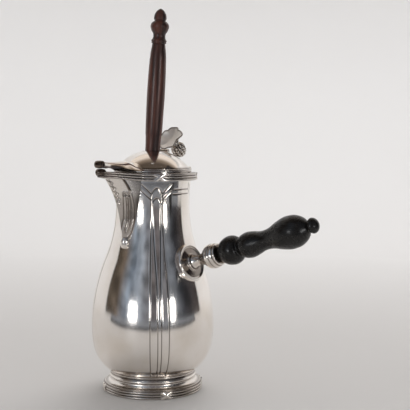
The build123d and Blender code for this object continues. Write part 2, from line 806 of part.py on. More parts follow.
with BuildPart() as finial_bud:
    with BuildSketch(cap_profile_plane):
        add(bud_outline(0))
        make_face()
    revolve(axis=cap_turning_axis)
    for rib in range(bud_ribs):
        rib_plane = Plane(
            origin=cap_centre,
            x_dir=Vector(1, 0, 0).rotate(cap_turning_axis, 360 * rib / bud_ribs),
            z_dir=(-cap_back).rotate(cap_turning_axis, 360 * rib / bud_ribs),
        )
        with BuildSketch(rib_plane):
            with Locations((bud_r, cap_crown + calyx_h + bud_h * 0.45)):
                Rectangle(bud_r, bud_h * 0.8)
            add(make_face(bud_outline(rib_depth), mode=Mode.PRIVATE), mode=Mode.SUBTRACT)
        extrude(amount=rib_depth * 0.6, both=True, mode=Mode.SUBTRACT)
save(finial_bud.part, "finial_bud")

# ---------------------------------------------------------------- stirrer
stirrer_hole = Vector(0, 0, dome_top_z)
stirrer_plane = Plane(
    origin=stirrer_hole, x_dir=stirrer_across, z_dir=stirrer_across.cross(stirrer_axis)
)
stirrer_turning_axis = Axis(stirrer_hole, stirrer_axis)
floor_z = body_turns(sheet)[0][1] + bottom_sag
head_lift = head_r * sin(radians(stirrer_lean_deg)) + rest_gap
head_bottom = -(dome_top_z - floor_z - head_lift) / stirrer_axis.Z
head_top = head_bottom + head_h


def above_hole(z):
    """Distance along the stirrer from the lid's hole to a height."""
    return (z - dome_top_z) / stirrer_axis.Z


def across_stirrer(along):
    """A plane square to the stirrer, at a distance along it from the hole."""
    return Plane(
        origin=stirrer_hole + stirrer_axis * along, x_dir=stirrer_across, z_dir=stirrer_axis
    )


ring_low = above_hole(ring_z) - ring_half_h
ring_high = above_hole(ring_z) + ring_half_h
ball_low = ring_high + 0.4
ball_high = above_hole(acorn_z) - 2.6

with BuildPart() as stirrer_rod:
    with BuildSketch(stirrer_plane):
        with BuildLine():
            Line((0, head_bottom + rest_gap), (shaft_low_r, head_bottom + rest_gap))
            Line((shaft_low_r, head_bottom + rest_gap), (shaft_low_r, head_top))
            Spline(
                (shaft_low_r, head_top),
                (shaft_hole_r, 0),
                (shaft_thick_r, above_hole(shaft_thick_z)),
                (under_ring_r, ring_low),
                tangents=[(0.008, 1), (-0.1, 1)],
            )
            Line((under_ring_r, ring_low), (ring_r * 0.9, ring_low))
            ThreePointArc((ring_r * 0.9, ring_low), (ring_r, above_hole(ring_z)), (ring_r * 0.9, ring_high))
            Line((ring_r * 0.9, ring_high), (ball_neck_r, ball_low))
            Spline(
                (ball_neck_r, ball_low),
                (ball_r, above_hole(ball_z)),
                (acorn_r * 0.86, ball_high),
                tangents=[(0.1, 1), (-0.9, 0.5)],
            )
            Spline(
                (acorn_r * 0.86, ball_high),
                (acorn_r, above_hole(acorn_z)),
                (0, above_hole(stirrer_top_z)),
                tangents=[(0.3, 1), (-1, 0.1)],
            )
            Line((0, above_hole(stirrer_top_z)), (0, head_bottom + rest_gap))
        make_face()
    revolve(axis=stirrer_turning_axis)
save(stirrer_rod.part, "stirrer_rod")

tier_h = (head_h - (head_tier_count - 1) * head_tier_gap) / head_tier_count
with BuildPart() as stirrer_head:
    with BuildSketch(across_stirrer(head_bottom)):
        Circle(head_core_r)
    extrude(amount=head_h)
    for tier in range(head_tier_count):
        with BuildSketch(across_stirrer(head_bottom + tier * (tier_h + head_tier_gap))):
            Circle(head_r)
            with PolarLocations((head_r + head_core_r) / 2, head_notches):
                Rectangle(head_r - head_core_r + 1, head_notch_w, mode=Mode.SUBTRACT)
        extrude(amount=tier_h)
    add(stirrer_rod.part, mode=Mode.SUBTRACT)
save(stirrer_head.part, "stirrer_head")
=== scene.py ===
"""Looks of a side-handled silver chocolate pot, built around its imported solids.

Lengths are millimetres until a mesh is made. The spout points along -Y, the handle along +X,
the lid hinge is at +Y, and the pot stands on z = 0.
"""

import json
import math

import bpy
import numpy as np
from mathutils import Matrix, Vector

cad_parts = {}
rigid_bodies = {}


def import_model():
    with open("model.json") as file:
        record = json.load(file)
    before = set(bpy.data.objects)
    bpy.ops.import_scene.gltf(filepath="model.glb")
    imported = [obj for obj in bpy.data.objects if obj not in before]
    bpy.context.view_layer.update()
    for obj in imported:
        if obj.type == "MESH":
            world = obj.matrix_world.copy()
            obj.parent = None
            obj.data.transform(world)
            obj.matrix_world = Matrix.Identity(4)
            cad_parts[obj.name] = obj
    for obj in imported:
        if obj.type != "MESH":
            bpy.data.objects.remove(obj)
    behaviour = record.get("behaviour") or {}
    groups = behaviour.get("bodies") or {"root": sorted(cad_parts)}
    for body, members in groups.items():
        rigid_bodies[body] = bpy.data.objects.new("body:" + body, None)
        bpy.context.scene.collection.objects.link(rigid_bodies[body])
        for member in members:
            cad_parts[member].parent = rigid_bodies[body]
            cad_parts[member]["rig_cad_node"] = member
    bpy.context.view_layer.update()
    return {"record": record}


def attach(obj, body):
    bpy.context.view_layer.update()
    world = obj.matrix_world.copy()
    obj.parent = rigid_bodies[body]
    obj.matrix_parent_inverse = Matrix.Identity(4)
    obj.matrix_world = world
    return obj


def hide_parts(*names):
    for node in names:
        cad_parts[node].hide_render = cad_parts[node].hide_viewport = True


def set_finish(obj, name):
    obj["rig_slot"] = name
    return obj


MM = 0.001
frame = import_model()

# ------------------------------------------------------------------ sizes shared with the solids
SHEET = 1.2
BODY_TURNS = ((33.8, 15.6), (46.9, 36.0), (48.2, 50.5), (28.9, 146.0), (30.2, 166.0))
SHOULDER_ARC = 105.6
MOUTH_R, MOUTH_Z = 30.2, 172.0
FOOT_JOINT_R, FOOT_JOINT_Z = BODY_TURNS[0]
BOTTOM_SAG = 1.6
FOOT_R = 39.5
RIM_H, RIM_T, REEDS = 6.0, 4.5, 3
LIP_TIP_R, LIP_ROOT, LIP_H = 60.6, (13.4, -27.0), 4.6
LIP_SLOPE = math.tan(math.radians(3.4))
SPOUT_STATIONS = np.array(
    [
        (118.5, 5.6, 35.0, 1.0),
        (129.0, 7.2, 37.0, 1.0),
        (140.0, 8.4, 39.4, 1.0),
        (152.0, 10.2, 44.0, 0.8),
        (164.0, 12.8, 51.4, 0.35),
        (175.0, 14.6, 61.4, 0.0),
    ]
)
SPOUT_ROOT_IN, SPOUT_FOOT = 24.0, 118.5
CHANNEL_Z = 123.0
PANEL_DEGREES = (-43.8, 43.8, 136.2, 223.8)
PANEL_HALF, STRAP_HALF, STRAP_GAP, ARCH_INNER = 24.8, 8.75, 1.7, 6.1
STRAP_FOOT, STRAP_TOP, STRAP_INNER_TOP = 17.0, 152.0, 149.5
STRAP_OPENS, STRAP_OPEN = 78.0, 148.0
BAND_LINES, UPRIGHT_LOW, UPRIGHT_HIGH = (159.3, 155.8), 158.6, 165.0
HANDLE_SEAT = np.array((38.2, 0.0, 103.0))
HANDLE_RISE = math.radians(18.0)
HANDLE_AXIS = np.array((math.cos(HANDLE_RISE), 0.0, math.sin(HANDLE_RISE)))
DOME_TOP, DOME_BASE, DOME_R = 189.6, 175.1, 29.0
DOME_BALL = (DOME_R**2 + (DOME_TOP - DOME_BASE) ** 2) / (2 * (DOME_TOP - DOME_BASE))
STIRRER_LEAN, STIRRER_WAY = math.radians(5.5), math.radians(-12.5)
STIRRER_AXIS = np.array(
    (
        math.sin(STIRRER_LEAN) * math.cos(STIRRER_WAY),
        math.sin(STIRRER_LEAN) * math.sin(STIRRER_WAY),
        math.cos(STIRRER_LEAN),
    )
)
STIRRER_HOLE = np.array((0.0, 0.0, DOME_TOP))
COVER_HINGE, COVER_REACH = np.array((0.0, 13.3, 188.872)), 13.3
COVER_OPEN = math.radians(130.0)
BEAK_ROOT, BEAK_TIP = 22.0, 61.0
RIBBON_LEAN = math.radians(34)
SHARP_DEGREES, SMALL_SHARP_DEGREES = 50.0, 32.0


# ------------------------------------------------------------------ curves
def hump(x, wide):
    """A soft ridge on the line x = 0: e^-(x/wide)^2."""
    return np.exp(-((x / wide) ** 2))


def dark_line(x, at, fades, core):
    """1 within core of the line at, falling to 0 where it fades."""
    return smooth_step(fades, core, np.abs(x - at))


def smooth_step(low, high, x):
    """0 below low, 1 above high, and 3t^2 - 2t^3 between them."""
    t = np.clip((x - low) / (high - low), 0, 1)
    return t * t * (3 - 2 * t)


def tangent_arc(start, end, heading, steps):
    """Points of the circle that leaves start along heading and passes through end, and its end heading."""
    start, end, heading = (np.array(v, float) for v in (start, end, heading))
    heading = heading / np.linalg.norm(heading)
    chord = end - start
    side = np.array((-heading[1], heading[0]))
    bend = 2 * (chord @ side) / (chord @ chord)
    if abs(bend) < 1e-9:
        return start + np.linspace(0, 1, steps)[:, None] * chord, heading
    turn = 2 * math.atan2(chord @ side, chord @ heading)
    a = np.linspace(0, turn, steps)[:, None]
    points = start + (np.sin(a) * heading + (1 - np.cos(a)) * side) / bend
    return points, np.cos(turn) * heading + np.sin(turn) * side


def bezier(*controls, steps=16):
    """Points of a quadratic or cubic Bezier curve: the Bernstein sum of its controls."""
    t = np.linspace(0, 1, steps)[:, None]
    p = [np.array(c, float) for c in controls]
    if len(p) == 3:
        return (1 - t) ** 2 * p[0] + 2 * t * (1 - t) * p[1] + t * t * p[2]
    return (1 - t) ** 3 * p[0] + 3 * t * (1 - t) ** 2 * p[1] + 3 * t * t * (1 - t) * p[2] + t**3 * p[3]


def natural_spline(knots, values, at):
    """Values at any places of the natural cubic through the knots, from its second differences."""
    knots, values, at = (np.asarray(v, float) for v in (knots, values, at))
    n = len(knots)
    gap = np.diff(knots)
    system, right = np.eye(n), np.zeros(n)
    for i in range(1, n - 1):
        system[i, i - 1 : i + 2] = gap[i - 1], 2 * (gap[i - 1] + gap[i]), gap[i]
        right[i] = 6 * ((values[i + 1] - values[i]) / gap[i] - (values[i] - values[i - 1]) / gap[i - 1])
    second = np.linalg.solve(system, right)
    i = np.clip(np.searchsorted(knots, at) - 1, 0, n - 2)
    h, a, b = gap[i], knots[i + 1] - at, at - knots[i]
    return (
        (second[i] * a**3 + second[i + 1] * b**3) / (6 * h)
        + (values[i] / h - second[i] * h / 6) * a
        + (values[i + 1] / h - second[i + 1] * h / 6) * b
    )


def through(points, steps_each=10):
    """A rounded line through the points: Catmull-Rom pieces, each a cubic with the neighbours' slopes."""
    p = np.array(points, float)
    padded = np.vstack((2 * p[0] - p[1], p, 2 * p[-1] - p[-2]))
    t = np.linspace(0, 1, steps_each, endpoint=False)[:, None]
    pieces = []
    for a, b, c, d in zip(padded, padded[1:], padded[2:], padded[3:]):
        pieces.append(
            0.5 * (2 * b + (c - a) * t + (2 * a - 5 * b + 4 * c - d) * t**2 + (3 * b - a - 3 * c + d) * t**3)
        )
    return np.vstack(pieces + [p[-1:]])


def half_round(centre, radius, start, end, steps=9):
    """Points of an arc about a centre, from one angle in degrees to another."""
    a = np.radians(np.linspace(start, end, steps))[:, None]
    return np.array(centre, float) + radius * np.hstack((np.cos(a), np.sin(a)))


def line_of(*parts):
    """Pieces of outline joined end to end, without doubled points."""
    points = np.vstack([np.atleast_2d(np.array(part, float)) for part in parts])
    keep = np.r_[True, np.linalg.norm(np.diff(points, axis=0), axis=1) > 1e-6]
    return points[keep]


# ------------------------------------------------------------------ meshes
def mesh_piece(
    name, points, quads, triangles=(), body="pot", replaces=(), slot="silver", crease=SHARP_DEGREES, tarnish=0.0
):
    """A piece from its points in millimetres and its faces, turned outwards by the sign of its volume.
    The last argument gives how dark the silver is at each point, 0 to 1: its patina, and in a few places painted
    shade."""
    faces = [np.asarray(quads, np.int32).reshape(-1, 4)]
    if len(triangles):
        faces.append(np.asarray(triangles, np.int32).reshape(-1, 3))
    points = np.asarray(points, float)
    volume = 0.0
    for group in faces:
        for k in range(1, group.shape[1] - 1):
            a, b, c = points[group[:, 0]], points[group[:, k]], points[group[:, k + 1]]
            volume += np.einsum("ij,ij->i", a, np.cross(b, c)).sum()
    if volume < 0:
        faces = [group[:, ::-1] for group in faces]
    loops = np.concatenate([group.ravel() for group in faces]).astype(np.int32)
    sizes = np.concatenate([np.full(len(group), group.shape[1], np.int32) for group in faces])
    mesh = bpy.data.meshes.new(name)
    mesh.vertices.add(len(points))
    mesh.vertices.foreach_set("co", (points * MM).astype(np.float32).ravel())
    mesh.loops.add(len(loops))
    mesh.loops.foreach_set("vertex_index", loops)
    mesh.polygons.add(len(sizes))
    mesh.polygons.foreach_set("loop_start", np.r_[0, np.cumsum(sizes)[:-1]].astype(np.int32))
    mesh.polygons.foreach_set("loop_total", sizes)
    if slot == "silver":
        layer = mesh.attributes.new("tarnish", "FLOAT", "POINT")
        shade = np.broadcast_to(tarnish, len(points))
        layer.data.foreach_set("value", shade.astype(np.float32).ravel())
    mesh.update(calc_edges=True)
    mesh.validate()
    mesh.polygons.foreach_set("use_smooth", np.ones(len(mesh.polygons), bool))
    mesh.set_sharp_from_angle(angle=math.radians(crease))
    piece = bpy.data.objects.new(name, mesh)
    bpy.context.scene.collection.objects.link(piece)
    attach(piece, body)
    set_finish(piece, slot)
    if replaces:
        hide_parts(*replaces)
    return piece


def grid_faces(rows, columns, close_rows=False, close_columns=False, start=0):
    """Quads between neighbouring points of a grid stored row by row."""
    r = np.arange(rows if close_rows else rows - 1)
    c = np.arange(columns if close_columns else columns - 1)
    r, c = (m.ravel() for m in np.meshgrid(r, c, indexing="ij"))
    r2, c2 = (r + 1) % rows, (c + 1) % columns
    return start + np.stack((r * columns + c, r * columns + c2, r2 * columns + c2, r2 * columns + c), 1)


def two_sided_faces(rows, columns, start=0):
    """Quads of two equal grids, stored one after the other, and of the strip that joins them all round."""
    n = rows * columns
    edge = np.concatenate(
        (
            np.arange(columns),
            columns * np.arange(1, rows) + columns - 1,
            n - 1 - np.arange(1, columns),
            columns * np.arange(rows - 2, 0, -1),
        )
    )
    following = np.roll(edge, -1)
    joined = start + np.stack((following, edge, edge + n, following + n), 1)
    return np.vstack(
        (grid_faces(rows, columns, start=start), grid_faces(rows, columns, start=start + n)[:, ::-1], joined)
    )


def pole_fans(rings, count):
    """Triangles that close a stack of rings at both ends, with two poles that are stored after the rings."""
    c = np.arange(count)
    n = (c + 1) % count
    first, top = rings * count, (rings - 1) * count
    low = np.stack((np.full(count, first), n, c), 1)
    high = np.stack((np.full(count, first + 1), top + c, top + n), 1)
    return np.vstack((low, high))


def round_points(radius, angle, z):
    """Points about Z: (r cos a, r sin a, z)."""
    return np.stack(np.broadcast_arrays(radius * np.cos(angle), radius * np.sin(angle), z), -1)


def turned_points(outline, origin, axis, side, count):
    """An outline of (radius, height) points turned about an axis:
    origin + h * axis + r * (cos a * side + sin a * across)."""
    axis, side = np.array(axis, float), np.array(side, float)
    across = np.cross(axis, side)
    a = np.linspace(0, 2 * np.pi, count, endpoint=False)
    ring = np.cos(a)[:, None] * side + np.sin(a)[:, None] * across
    r, h = outline[:, 0], outline[:, 1]
    return np.array(origin, float) + h[:, None, None] * axis + r[:, None, None] * ring[None]


def turned(name, outline, origin=(0, 0, 0), axis=(0, 0, 1), side=(1, 0, 0), count=128, shade=None, **placing):
    """A piece of revolution. An outline that starts and ends on the axis gets a point at each pole,
    and any other is closed from its last point to its first. shade gives the darkening at (radius, height):
    patina, and in some pieces painted shade."""
    outline = np.array(outline, float)
    poles = outline[0, 0] < 1e-6 and outline[-1, 0] < 1e-6
    body = outline[1:-1] if poles else outline
    points = turned_points(body, origin, axis, side, count).reshape(-1, 3)
    quads = grid_faces(len(body), count, close_rows=not poles, close_columns=True)
    triangles = pole_fans(len(body), count) if poles else ()
    if poles:
        ends = np.array(origin, float) + outline[[0, -1], 1][:, None] * np.array(axis, float)
        points = np.vstack((points, ends))
    if shade is not None:
        dark = np.repeat(shade(body[:, 0], body[:, 1]), count)
        placing["tarnish"] = np.concatenate((dark, np.zeros(len(points) - len(dark))))
    return mesh_piece(name, points, quads, triangles, **placing)


# ------------------------------------------------------------------ the pot's body
def body_outline(inset):
    """(radius, height) up the body's wall: tangent arcs through foot joint, belly, shoulder, neck and mouth."""
    joint, low_belly, belly, neck, mouth = (np.array(p, float) for p in BODY_TURNS)
    height, spread = neck[1] - belly[1], neck[0] + SHOULDER_ARC - belly[0]
    belly_arc = (spread**2 + height**2 - SHOULDER_ARC**2) / (2 * (SHOULDER_ARC - spread))
    share = (SHOULDER_ARC + inset) / (SHOULDER_ARC + belly_arc)
    joint = joint + inset * np.array((-0.6, 0.8))
    low_belly = low_belly + inset * np.array((-0.98, 0.19))
    shoulder = np.array((neck[0] + SHOULDER_ARC - (spread + belly_arc) * share, neck[1] - height * share))
    belly, neck, mouth = (p - (inset, 0) for p in (belly, neck, mouth))
    tuck, heading = tangent_arc(belly, low_belly, (0, -1), 14)
    heel, _ = tangent_arc(low_belly, joint, heading, 14)
    hollow, heading = tangent_arc(neck, shoulder, (0, -1), 40)
    swell, _ = tangent_arc(shoulder, belly, heading, 30)
    collar, _ = tangent_arc(neck, mouth, (0, 1), 24)
    return line_of(heel[::-1], tuck[::-1], swell[::-1], hollow[::-1], collar, (mouth[0], MOUTH_Z))


def strap_inner(z):
    """Angle from the panel's middle to the strap's inner edge, which opens out towards the arch."""
    return STRAP_GAP + (ARCH_INNER - STRAP_GAP) * smooth_step(STRAP_OPENS, STRAP_OPEN, z)


def chased_lines(nearest, z, radius):
    """Distances in millimetres from a place on the wall to each chased line of the strapwork.

    nearest is the angle from the panel's middle. The lines are: the strap's outer and inner meridians,
    the arch z = peak - drop * (u / half)^2 and the smaller one under it, the two straight arms that rise
    from the strap to the band, the two circles of the band, and the panel's upright edge."""
    mm = np.radians(1) * radius
    far = np.full(np.broadcast(nearest, z).shape, 9.0)

    def slanted(u_low, z_low, u_high, z_high):
        slope = (z_high - z_low) / (u_high - u_low)
        off = np.abs(z - z_low - slope * (nearest - u_low)) / np.sqrt(1 + (slope / mm) ** 2)
        return np.where((nearest > u_low) & (nearest < u_high), off, far)

    def arched(peak, drop, half):
        slope = 2 * drop * nearest / half**2 / mm
        off = np.abs(z - peak + drop * (nearest / half) ** 2) / np.sqrt(1 + slope**2)
        return np.where(nearest < half + 0.3, off, far)

    edge = np.where((z > STRAP_FOOT) & (z < STRAP_TOP), np.abs(nearest - STRAP_HALF) * mm, far)
    middle = np.where((z > STRAP_FOOT) & (z < STRAP_INNER_TOP), np.abs(nearest - strap_inner(z)) * mm, far)
    upright = np.where((z > UPRIGHT_LOW) & (z < UPRIGHT_HIGH), np.abs(nearest - PANEL_HALF) * mm, far)
    band = np.minimum(*(np.abs(z - height) for height in BAND_LINES))
    band = np.where(nearest > PANEL_HALF, band, far)
    arms = np.minimum(slanted(8.6, 156.5, 22.6, 163.2), slanted(7.4, 151.4, 24.8, 158.9))
    arches = np.minimum(arched(160.7, 7.2, 8.9), arched(153.0, 3.6, ARCH_INNER))
    return edge, middle, upright, band, arms, arches


def chased_relief(degrees, z, radius):
    """How far the wall stands proud and how dark it has gone: thin chased grooves with a soft raised
    edge on each side, and the straps between them a hair proud of the ground."""
    nearest = np.min([np.abs((degrees - p + 180) % 360 - 180) for p in PANEL_DEGREES], axis=0)
    edge, middle, upright, band, arms, arches = chased_lines(nearest, z, radius)
    thin = np.minimum.reduce((upright, band, arms, arches))
    groove = np.maximum(smooth_step(0.62, 0.12, thin), smooth_step(0.55, 0.1, np.minimum(edge, middle)))
    shoulder = hump(np.minimum.reduce((thin, edge, middle)) - 0.85, 0.3)
    strap = smooth_step(0, 0.8, nearest - strap_inner(z)) * smooth_step(0, 0.8, STRAP_HALF - nearest)
    strap = strap * smooth_step(STRAP_FOOT, 19.0, z) * smooth_step(STRAP_TOP, 149.0, z)
    calm = 1 - 0.55 * smooth_step(118.0, 146.0, z)
    return (0.08 * strap + 0.08 * shoulder - 0.22 * groove) * calm, groove


def dense_angles():
    """Angles in degrees round the pot, close together beside the panels and wider between them."""
    near = np.concatenate((np.linspace(0, 10.2, 34, endpoint=False), np.linspace(10.2, 25.8, 28)))
    wide = np.linspace(25.8, 45, 6)[1:]
    half = np.concatenate((near, wide))
    sector = np.concatenate((-half[:0:-1], half))[:-1]
    return np.concatenate([sector + p for p in PANEL_DEGREES])


def make_pot_body():
    """The raised body: its wall is the outline turned about Z and pushed out by the chased relief."""
    outline = body_outline(0)
    z = outline[:, 1]
    spans = ((FOOT_JOINT_Z, 20, 8), (20, 144, 78), (144, 164, 74))
    rows = [np.linspace(low, high, count, endpoint=False) for low, high, count in spans]
    rows = np.concatenate(rows + [np.linspace(164, MOUTH_Z, 8)])
    radius = np.interp(rows, z, outline[:, 0])
    angles = dense_angles()
    proud, dark = chased_relief(angles[None], rows[:, None], radius[:, None])
    a = np.radians(angles)
    outside = round_points(radius[:, None] + proud, a, rows[:, None])
    inner = body_outline(SHEET)[::-1][::3]
    inner = np.vstack(((MOUTH_R - SHEET, MOUTH_Z), inner[inner[:, 1] < MOUTH_Z - 1], body_outline(SHEET)[:1]))
    sag = inner[-1, 1] + BOTTOM_SAG
    inner = np.vstack((inner, (inner[-1, 0] / 2, sag - 0.4)))
    inside = round_points(inner[:, :1], a, inner[:, 1:])
    below = round_points(np.full((1, 1), FOOT_JOINT_R / 2), a, FOOT_JOINT_Z + BOTTOM_SAG * 0.75)
    wall = np.concatenate((below, outside, inside))
    count = len(a)
    points = np.vstack((wall.reshape(-1, 3), (0, 0, FOOT_JOINT_Z + BOTTOM_SAG), (0, 0, sag)))
    tarnish = np.zeros(len(points))
    tarnish[count : count + dark.size] = 0.9 * dark.ravel()
    return mesh_piece(
        "pot_body",
        points,
        grid_faces(len(wall), count, close_columns=True),
        pole_fans(len(wall), count),
        replaces=("vessel_body",),
        tarnish=tarnish,
    )


# ------------------------------------------------------------------ spout
def spout_arch(z, inset, t):
    """The spout's pointed arch at a height, one side, t from its root (0) to the keel (1):
    a quadratic Bezier from (half, -24) by a cheek point to (0, -reach)."""
    half = natural_spline(SPOUT_STATIONS[:, 0], SPOUT_STATIONS[:, 1], z) - inset * 1.15
    reach = natural_spline(SPOUT_STATIONS[:, 0], SPOUT_STATIONS[:, 2], z) - inset * 1.5
    full = natural_spline(SPOUT_STATIONS[:, 0], SPOUT_STATIONS[:, 3], z)
    length = reach - SPOUT_ROOT_IN
    cheek_x, cheek_y = half * (0.5 + 0.5 * full), -SPOUT_ROOT_IN - length * (0.5 - 0.06 * full)
    x = (1 - t) ** 2 * half + 2 * t * (1 - t) * cheek_x
    y = -((1 - t) ** 2) * SPOUT_ROOT_IN + 2 * t * (1 - t) * cheek_y - t * t * reach
    return x, y


def leaf_relief(s, z, width):
    """How far the chased leaf stands proud at a distance s from the keel, and how dark it is.

    A long leaf lies along the middle of each cheek: a sunk midrib, two raised sides, and a U-shaped
    border that runs down into the drop. Two curls close its head, a chain of small scrolls follows
    the keel above it, and a shallow flute leads from the head to the lip."""
    middle = 0.5 * width * np.sqrt(np.clip((z - 119.0) / 18.0, 0, 1))
    d = s - middle
    border_half = (3.3 - 0.6 * smooth_step(148.0, 157.0, z)) * np.sqrt(np.clip((z - 119.5) / 9.0, 0, 1))
    inner_half = 1.6 * np.sqrt(np.clip((z - 126.0) / 5.0, 0, 1))
    below_head = smooth_step(157.5, 155.0, z)
    border = hump(np.abs(d) - border_half, 0.42) * below_head
    border_line = hump(np.abs(d) - border_half - 0.85, 0.42) * below_head * (border_half > 0.9)
    side = hump(np.abs(d) - inner_half * 0.55, 0.55) * below_head * (inner_half > 0.2)
    inner_line = hump(np.abs(d) - inner_half, 0.42) * below_head * (inner_half > 0.2)
    midrib = hump(d, 0.42) * smooth_step(133.5, 136.0, z) * smooth_step(155.0, 153.0, z)
    curl = np.hypot(np.abs(d + 0.6) - 1.7, z - 156.2)
    curls = hump(curl - 1.25, 0.4) + hump(curl, 0.5)
    curl_line = hump(curl - 0.7, 0.25) + 0.6 * hump(curl - 1.9, 0.3)
    chain_ends = smooth_step(148.0, 151.0, z) * smooth_step(170.0, 167.0, z)
    chain_off = s - 2.5 - 0.9 * np.sin(2 * np.pi * z / 4.1)
    chain = hump(chain_off, 0.5) * chain_ends
    chain_line = (hump(chain_off - 1.0, 0.32) + 0.8 * hump(chain_off + 1.0, 0.32)) * chain_ends
    flute_at = width * (0.47 + 0.14 * np.clip((168.0 - z) / 10.0, 0, 1))
    flute = smooth_step(1.5, 0.7, np.abs(s - flute_at)) * smooth_step(157.5, 159.5, z)
    sunk = midrib + inner_line + 0.6 * border_line + 0.6 * curl_line + 0.5 * chain_line
    proud = 0.45 * (border + side + np.minimum(curls, 1) + chain) - 0.35 * sunk - 0.3 * flute
    dark = np.maximum.reduce(
        (midrib, 0.98 * inner_line, 0.95 * border_line, 0.98 * curl_line, 0.95 * chain_line, 0.9 * flute)
    )
    # Darker low down on the spout and towards its root.
    near_root = 0.42 * smooth_step(158.0, 150.0, z) + smooth_step(0.6, 0.85, s / np.maximum(width, 1.0)) * 0.3
    return proud, np.clip(np.maximum(dark, near_root), 0, 1)


def lip_height(y):
    """The lip's slope: it climbs from the mouth by the slope times the distance run along -Y."""
    return MOUTH_Z + (-y + LIP_ROOT[1]) * LIP_SLOPE


def spout_side(inset, rows, columns, root_gap, relief):
    """One side of the spout's wall as a grid, from its root just inside the body to the keel."""
    z = np.linspace(CHANNEL_Z if inset else SPOUT_FOOT, MOUTH_Z, rows)[:, None] * np.ones((1, columns))
    outline = body_outline(0)
    share = np.linspace(0, 1, columns)[None]
    for _ in range(3):
        t_low, t_high = np.zeros((rows, 1)), np.ones((rows, 1))
        wall = np.interp(z[:, :1], outline[:, 1], outline[:, 0]) - root_gap
        for _ in range(24):
            t = (t_low + t_high) / 2
            x, y = spout_arch(z[:, :1], inset, t)
            inside = np.hypot(x, y) < wall
            t_low, t_high = np.where(inside, t, t_low), np.where(inside, t_high, t)
        t = t_high + (1 - t_high) * share
        x, y = spout_arch(z, inset, t)
        low = z[:1]
        top = lip_height(y[-1:])
        z = low + (top - low) * np.linspace(0, 1, rows)[:, None]
    if not relief:
        return np.stack((x, y, z), 2)
    step = np.hypot(np.diff(x, axis=1), np.diff(y, axis=1))
    s = np.concatenate((np.cumsum(step[:, ::-1], axis=1)[:, ::-1], np.zeros((rows, 1))), 1)
    proud, dark = leaf_relief(s, z, s[:, :1])
    proud = proud * smooth_step(0.0, 1.5, s[:, :1] - s)
    nx, ny = np.gradient(y, axis=1), -np.gradient(x, axis=1)
    size = np.hypot(nx, ny) + 1e-9
    nx[:, -1] = 0
    x, y = x + nx / size * proud, y + ny / size * proud
    x[:, -1] = 0
    return np.stack((x, y, z), 2), dark


def mirror_rows(grid):
    """A one-sided grid carried on over the keel to its mirror image."""
    other = grid[:, -2::-1] * np.array((-1, 1, 1))
    return np.concatenate((grid, other), 1)


def make_spout():
    """The beak spout: an outer and an inner wall, each the arch carried up to the sloping lip, joined at
    their edges."""
    side, dark = spout_side(0.0, 200, 84, 0.7, True)
    outer = mirror_rows(side)
    dark = np.concatenate((dark, dark[:, -2::-1]), 1)
    inner = mirror_rows(spout_side(SHEET, 200, 84, 0.7, False))
    rows, columns = outer.shape[:2]
    points = np.vstack((outer.reshape(-1, 3), inner.reshape(-1, 3)))
    # Painted shade: the spout's inner wall is evenly half dark.
    tarnish = np.concatenate((dark.ravel(), np.full(dark.size, 0.5)))
    return mesh_piece(
        "beak_spout", points, two_sided_faces(rows, columns), replaces=("spout",), crease=40, tarnish=tarnish
    )


def channel_cutter():
    """A closed solid of the spout's channel, to open the body's wall into the spout."""
    grid = mirror_rows(spout_side(SHEET, 60, 24, 3.2, False))
    rows, columns = grid.shape[:2]
    grid[-1, :, 2] += 1.0
    ends = grid[[0, -1]].mean(1)
    ends[:, 1] = grid[[0, -1], 0, 1]
    low = rows * columns
    c, top = np.arange(columns - 1), low - columns
    left = np.arange(rows) * columns
    right = left + columns - 1
    caps = np.vstack(
        (
            np.stack((np.full(columns - 1, low), c, c + 1), 1),
            np.stack((np.full(columns - 1, low + 1), top + c + 1, top + c), 1),
            [(low, right[0], left[0]), (low + 1, left[-1], right[-1])],
        )
    )
    back = np.stack((left[:-1], left[1:], right[1:], right[:-1]), 1)
    return np.vstack((grid.reshape(-1, 3), ends)), np.vstack((grid_faces(rows, columns), back)), caps


# ------------------------------------------------------------------ mouldings
def reeded_outline(height, back, thickness=RIM_T):
    """(out, up) points of the reeded moulding: half rounds of radius height/6 on a flat back."""
    reed = height / (2 * REEDS)
    crest = thickness - reed
    reeds = [half_round((crest, reed * (2 * k + 1)), reed, -84, 84, 13) for k in range(REEDS)]
    return line_of((-back, 0), *reeds, (-back, height))


def groove_shade(up, height):
    """How dark a reeded moulding has gone at a height: dark where two reeds meet, clean on their crests."""
    pitch = height / REEDS
    off = np.abs((up / pitch + 0.5) % 1 - 0.5) * pitch
    return 0.85 * smooth_step(0.42, 0.08, off)


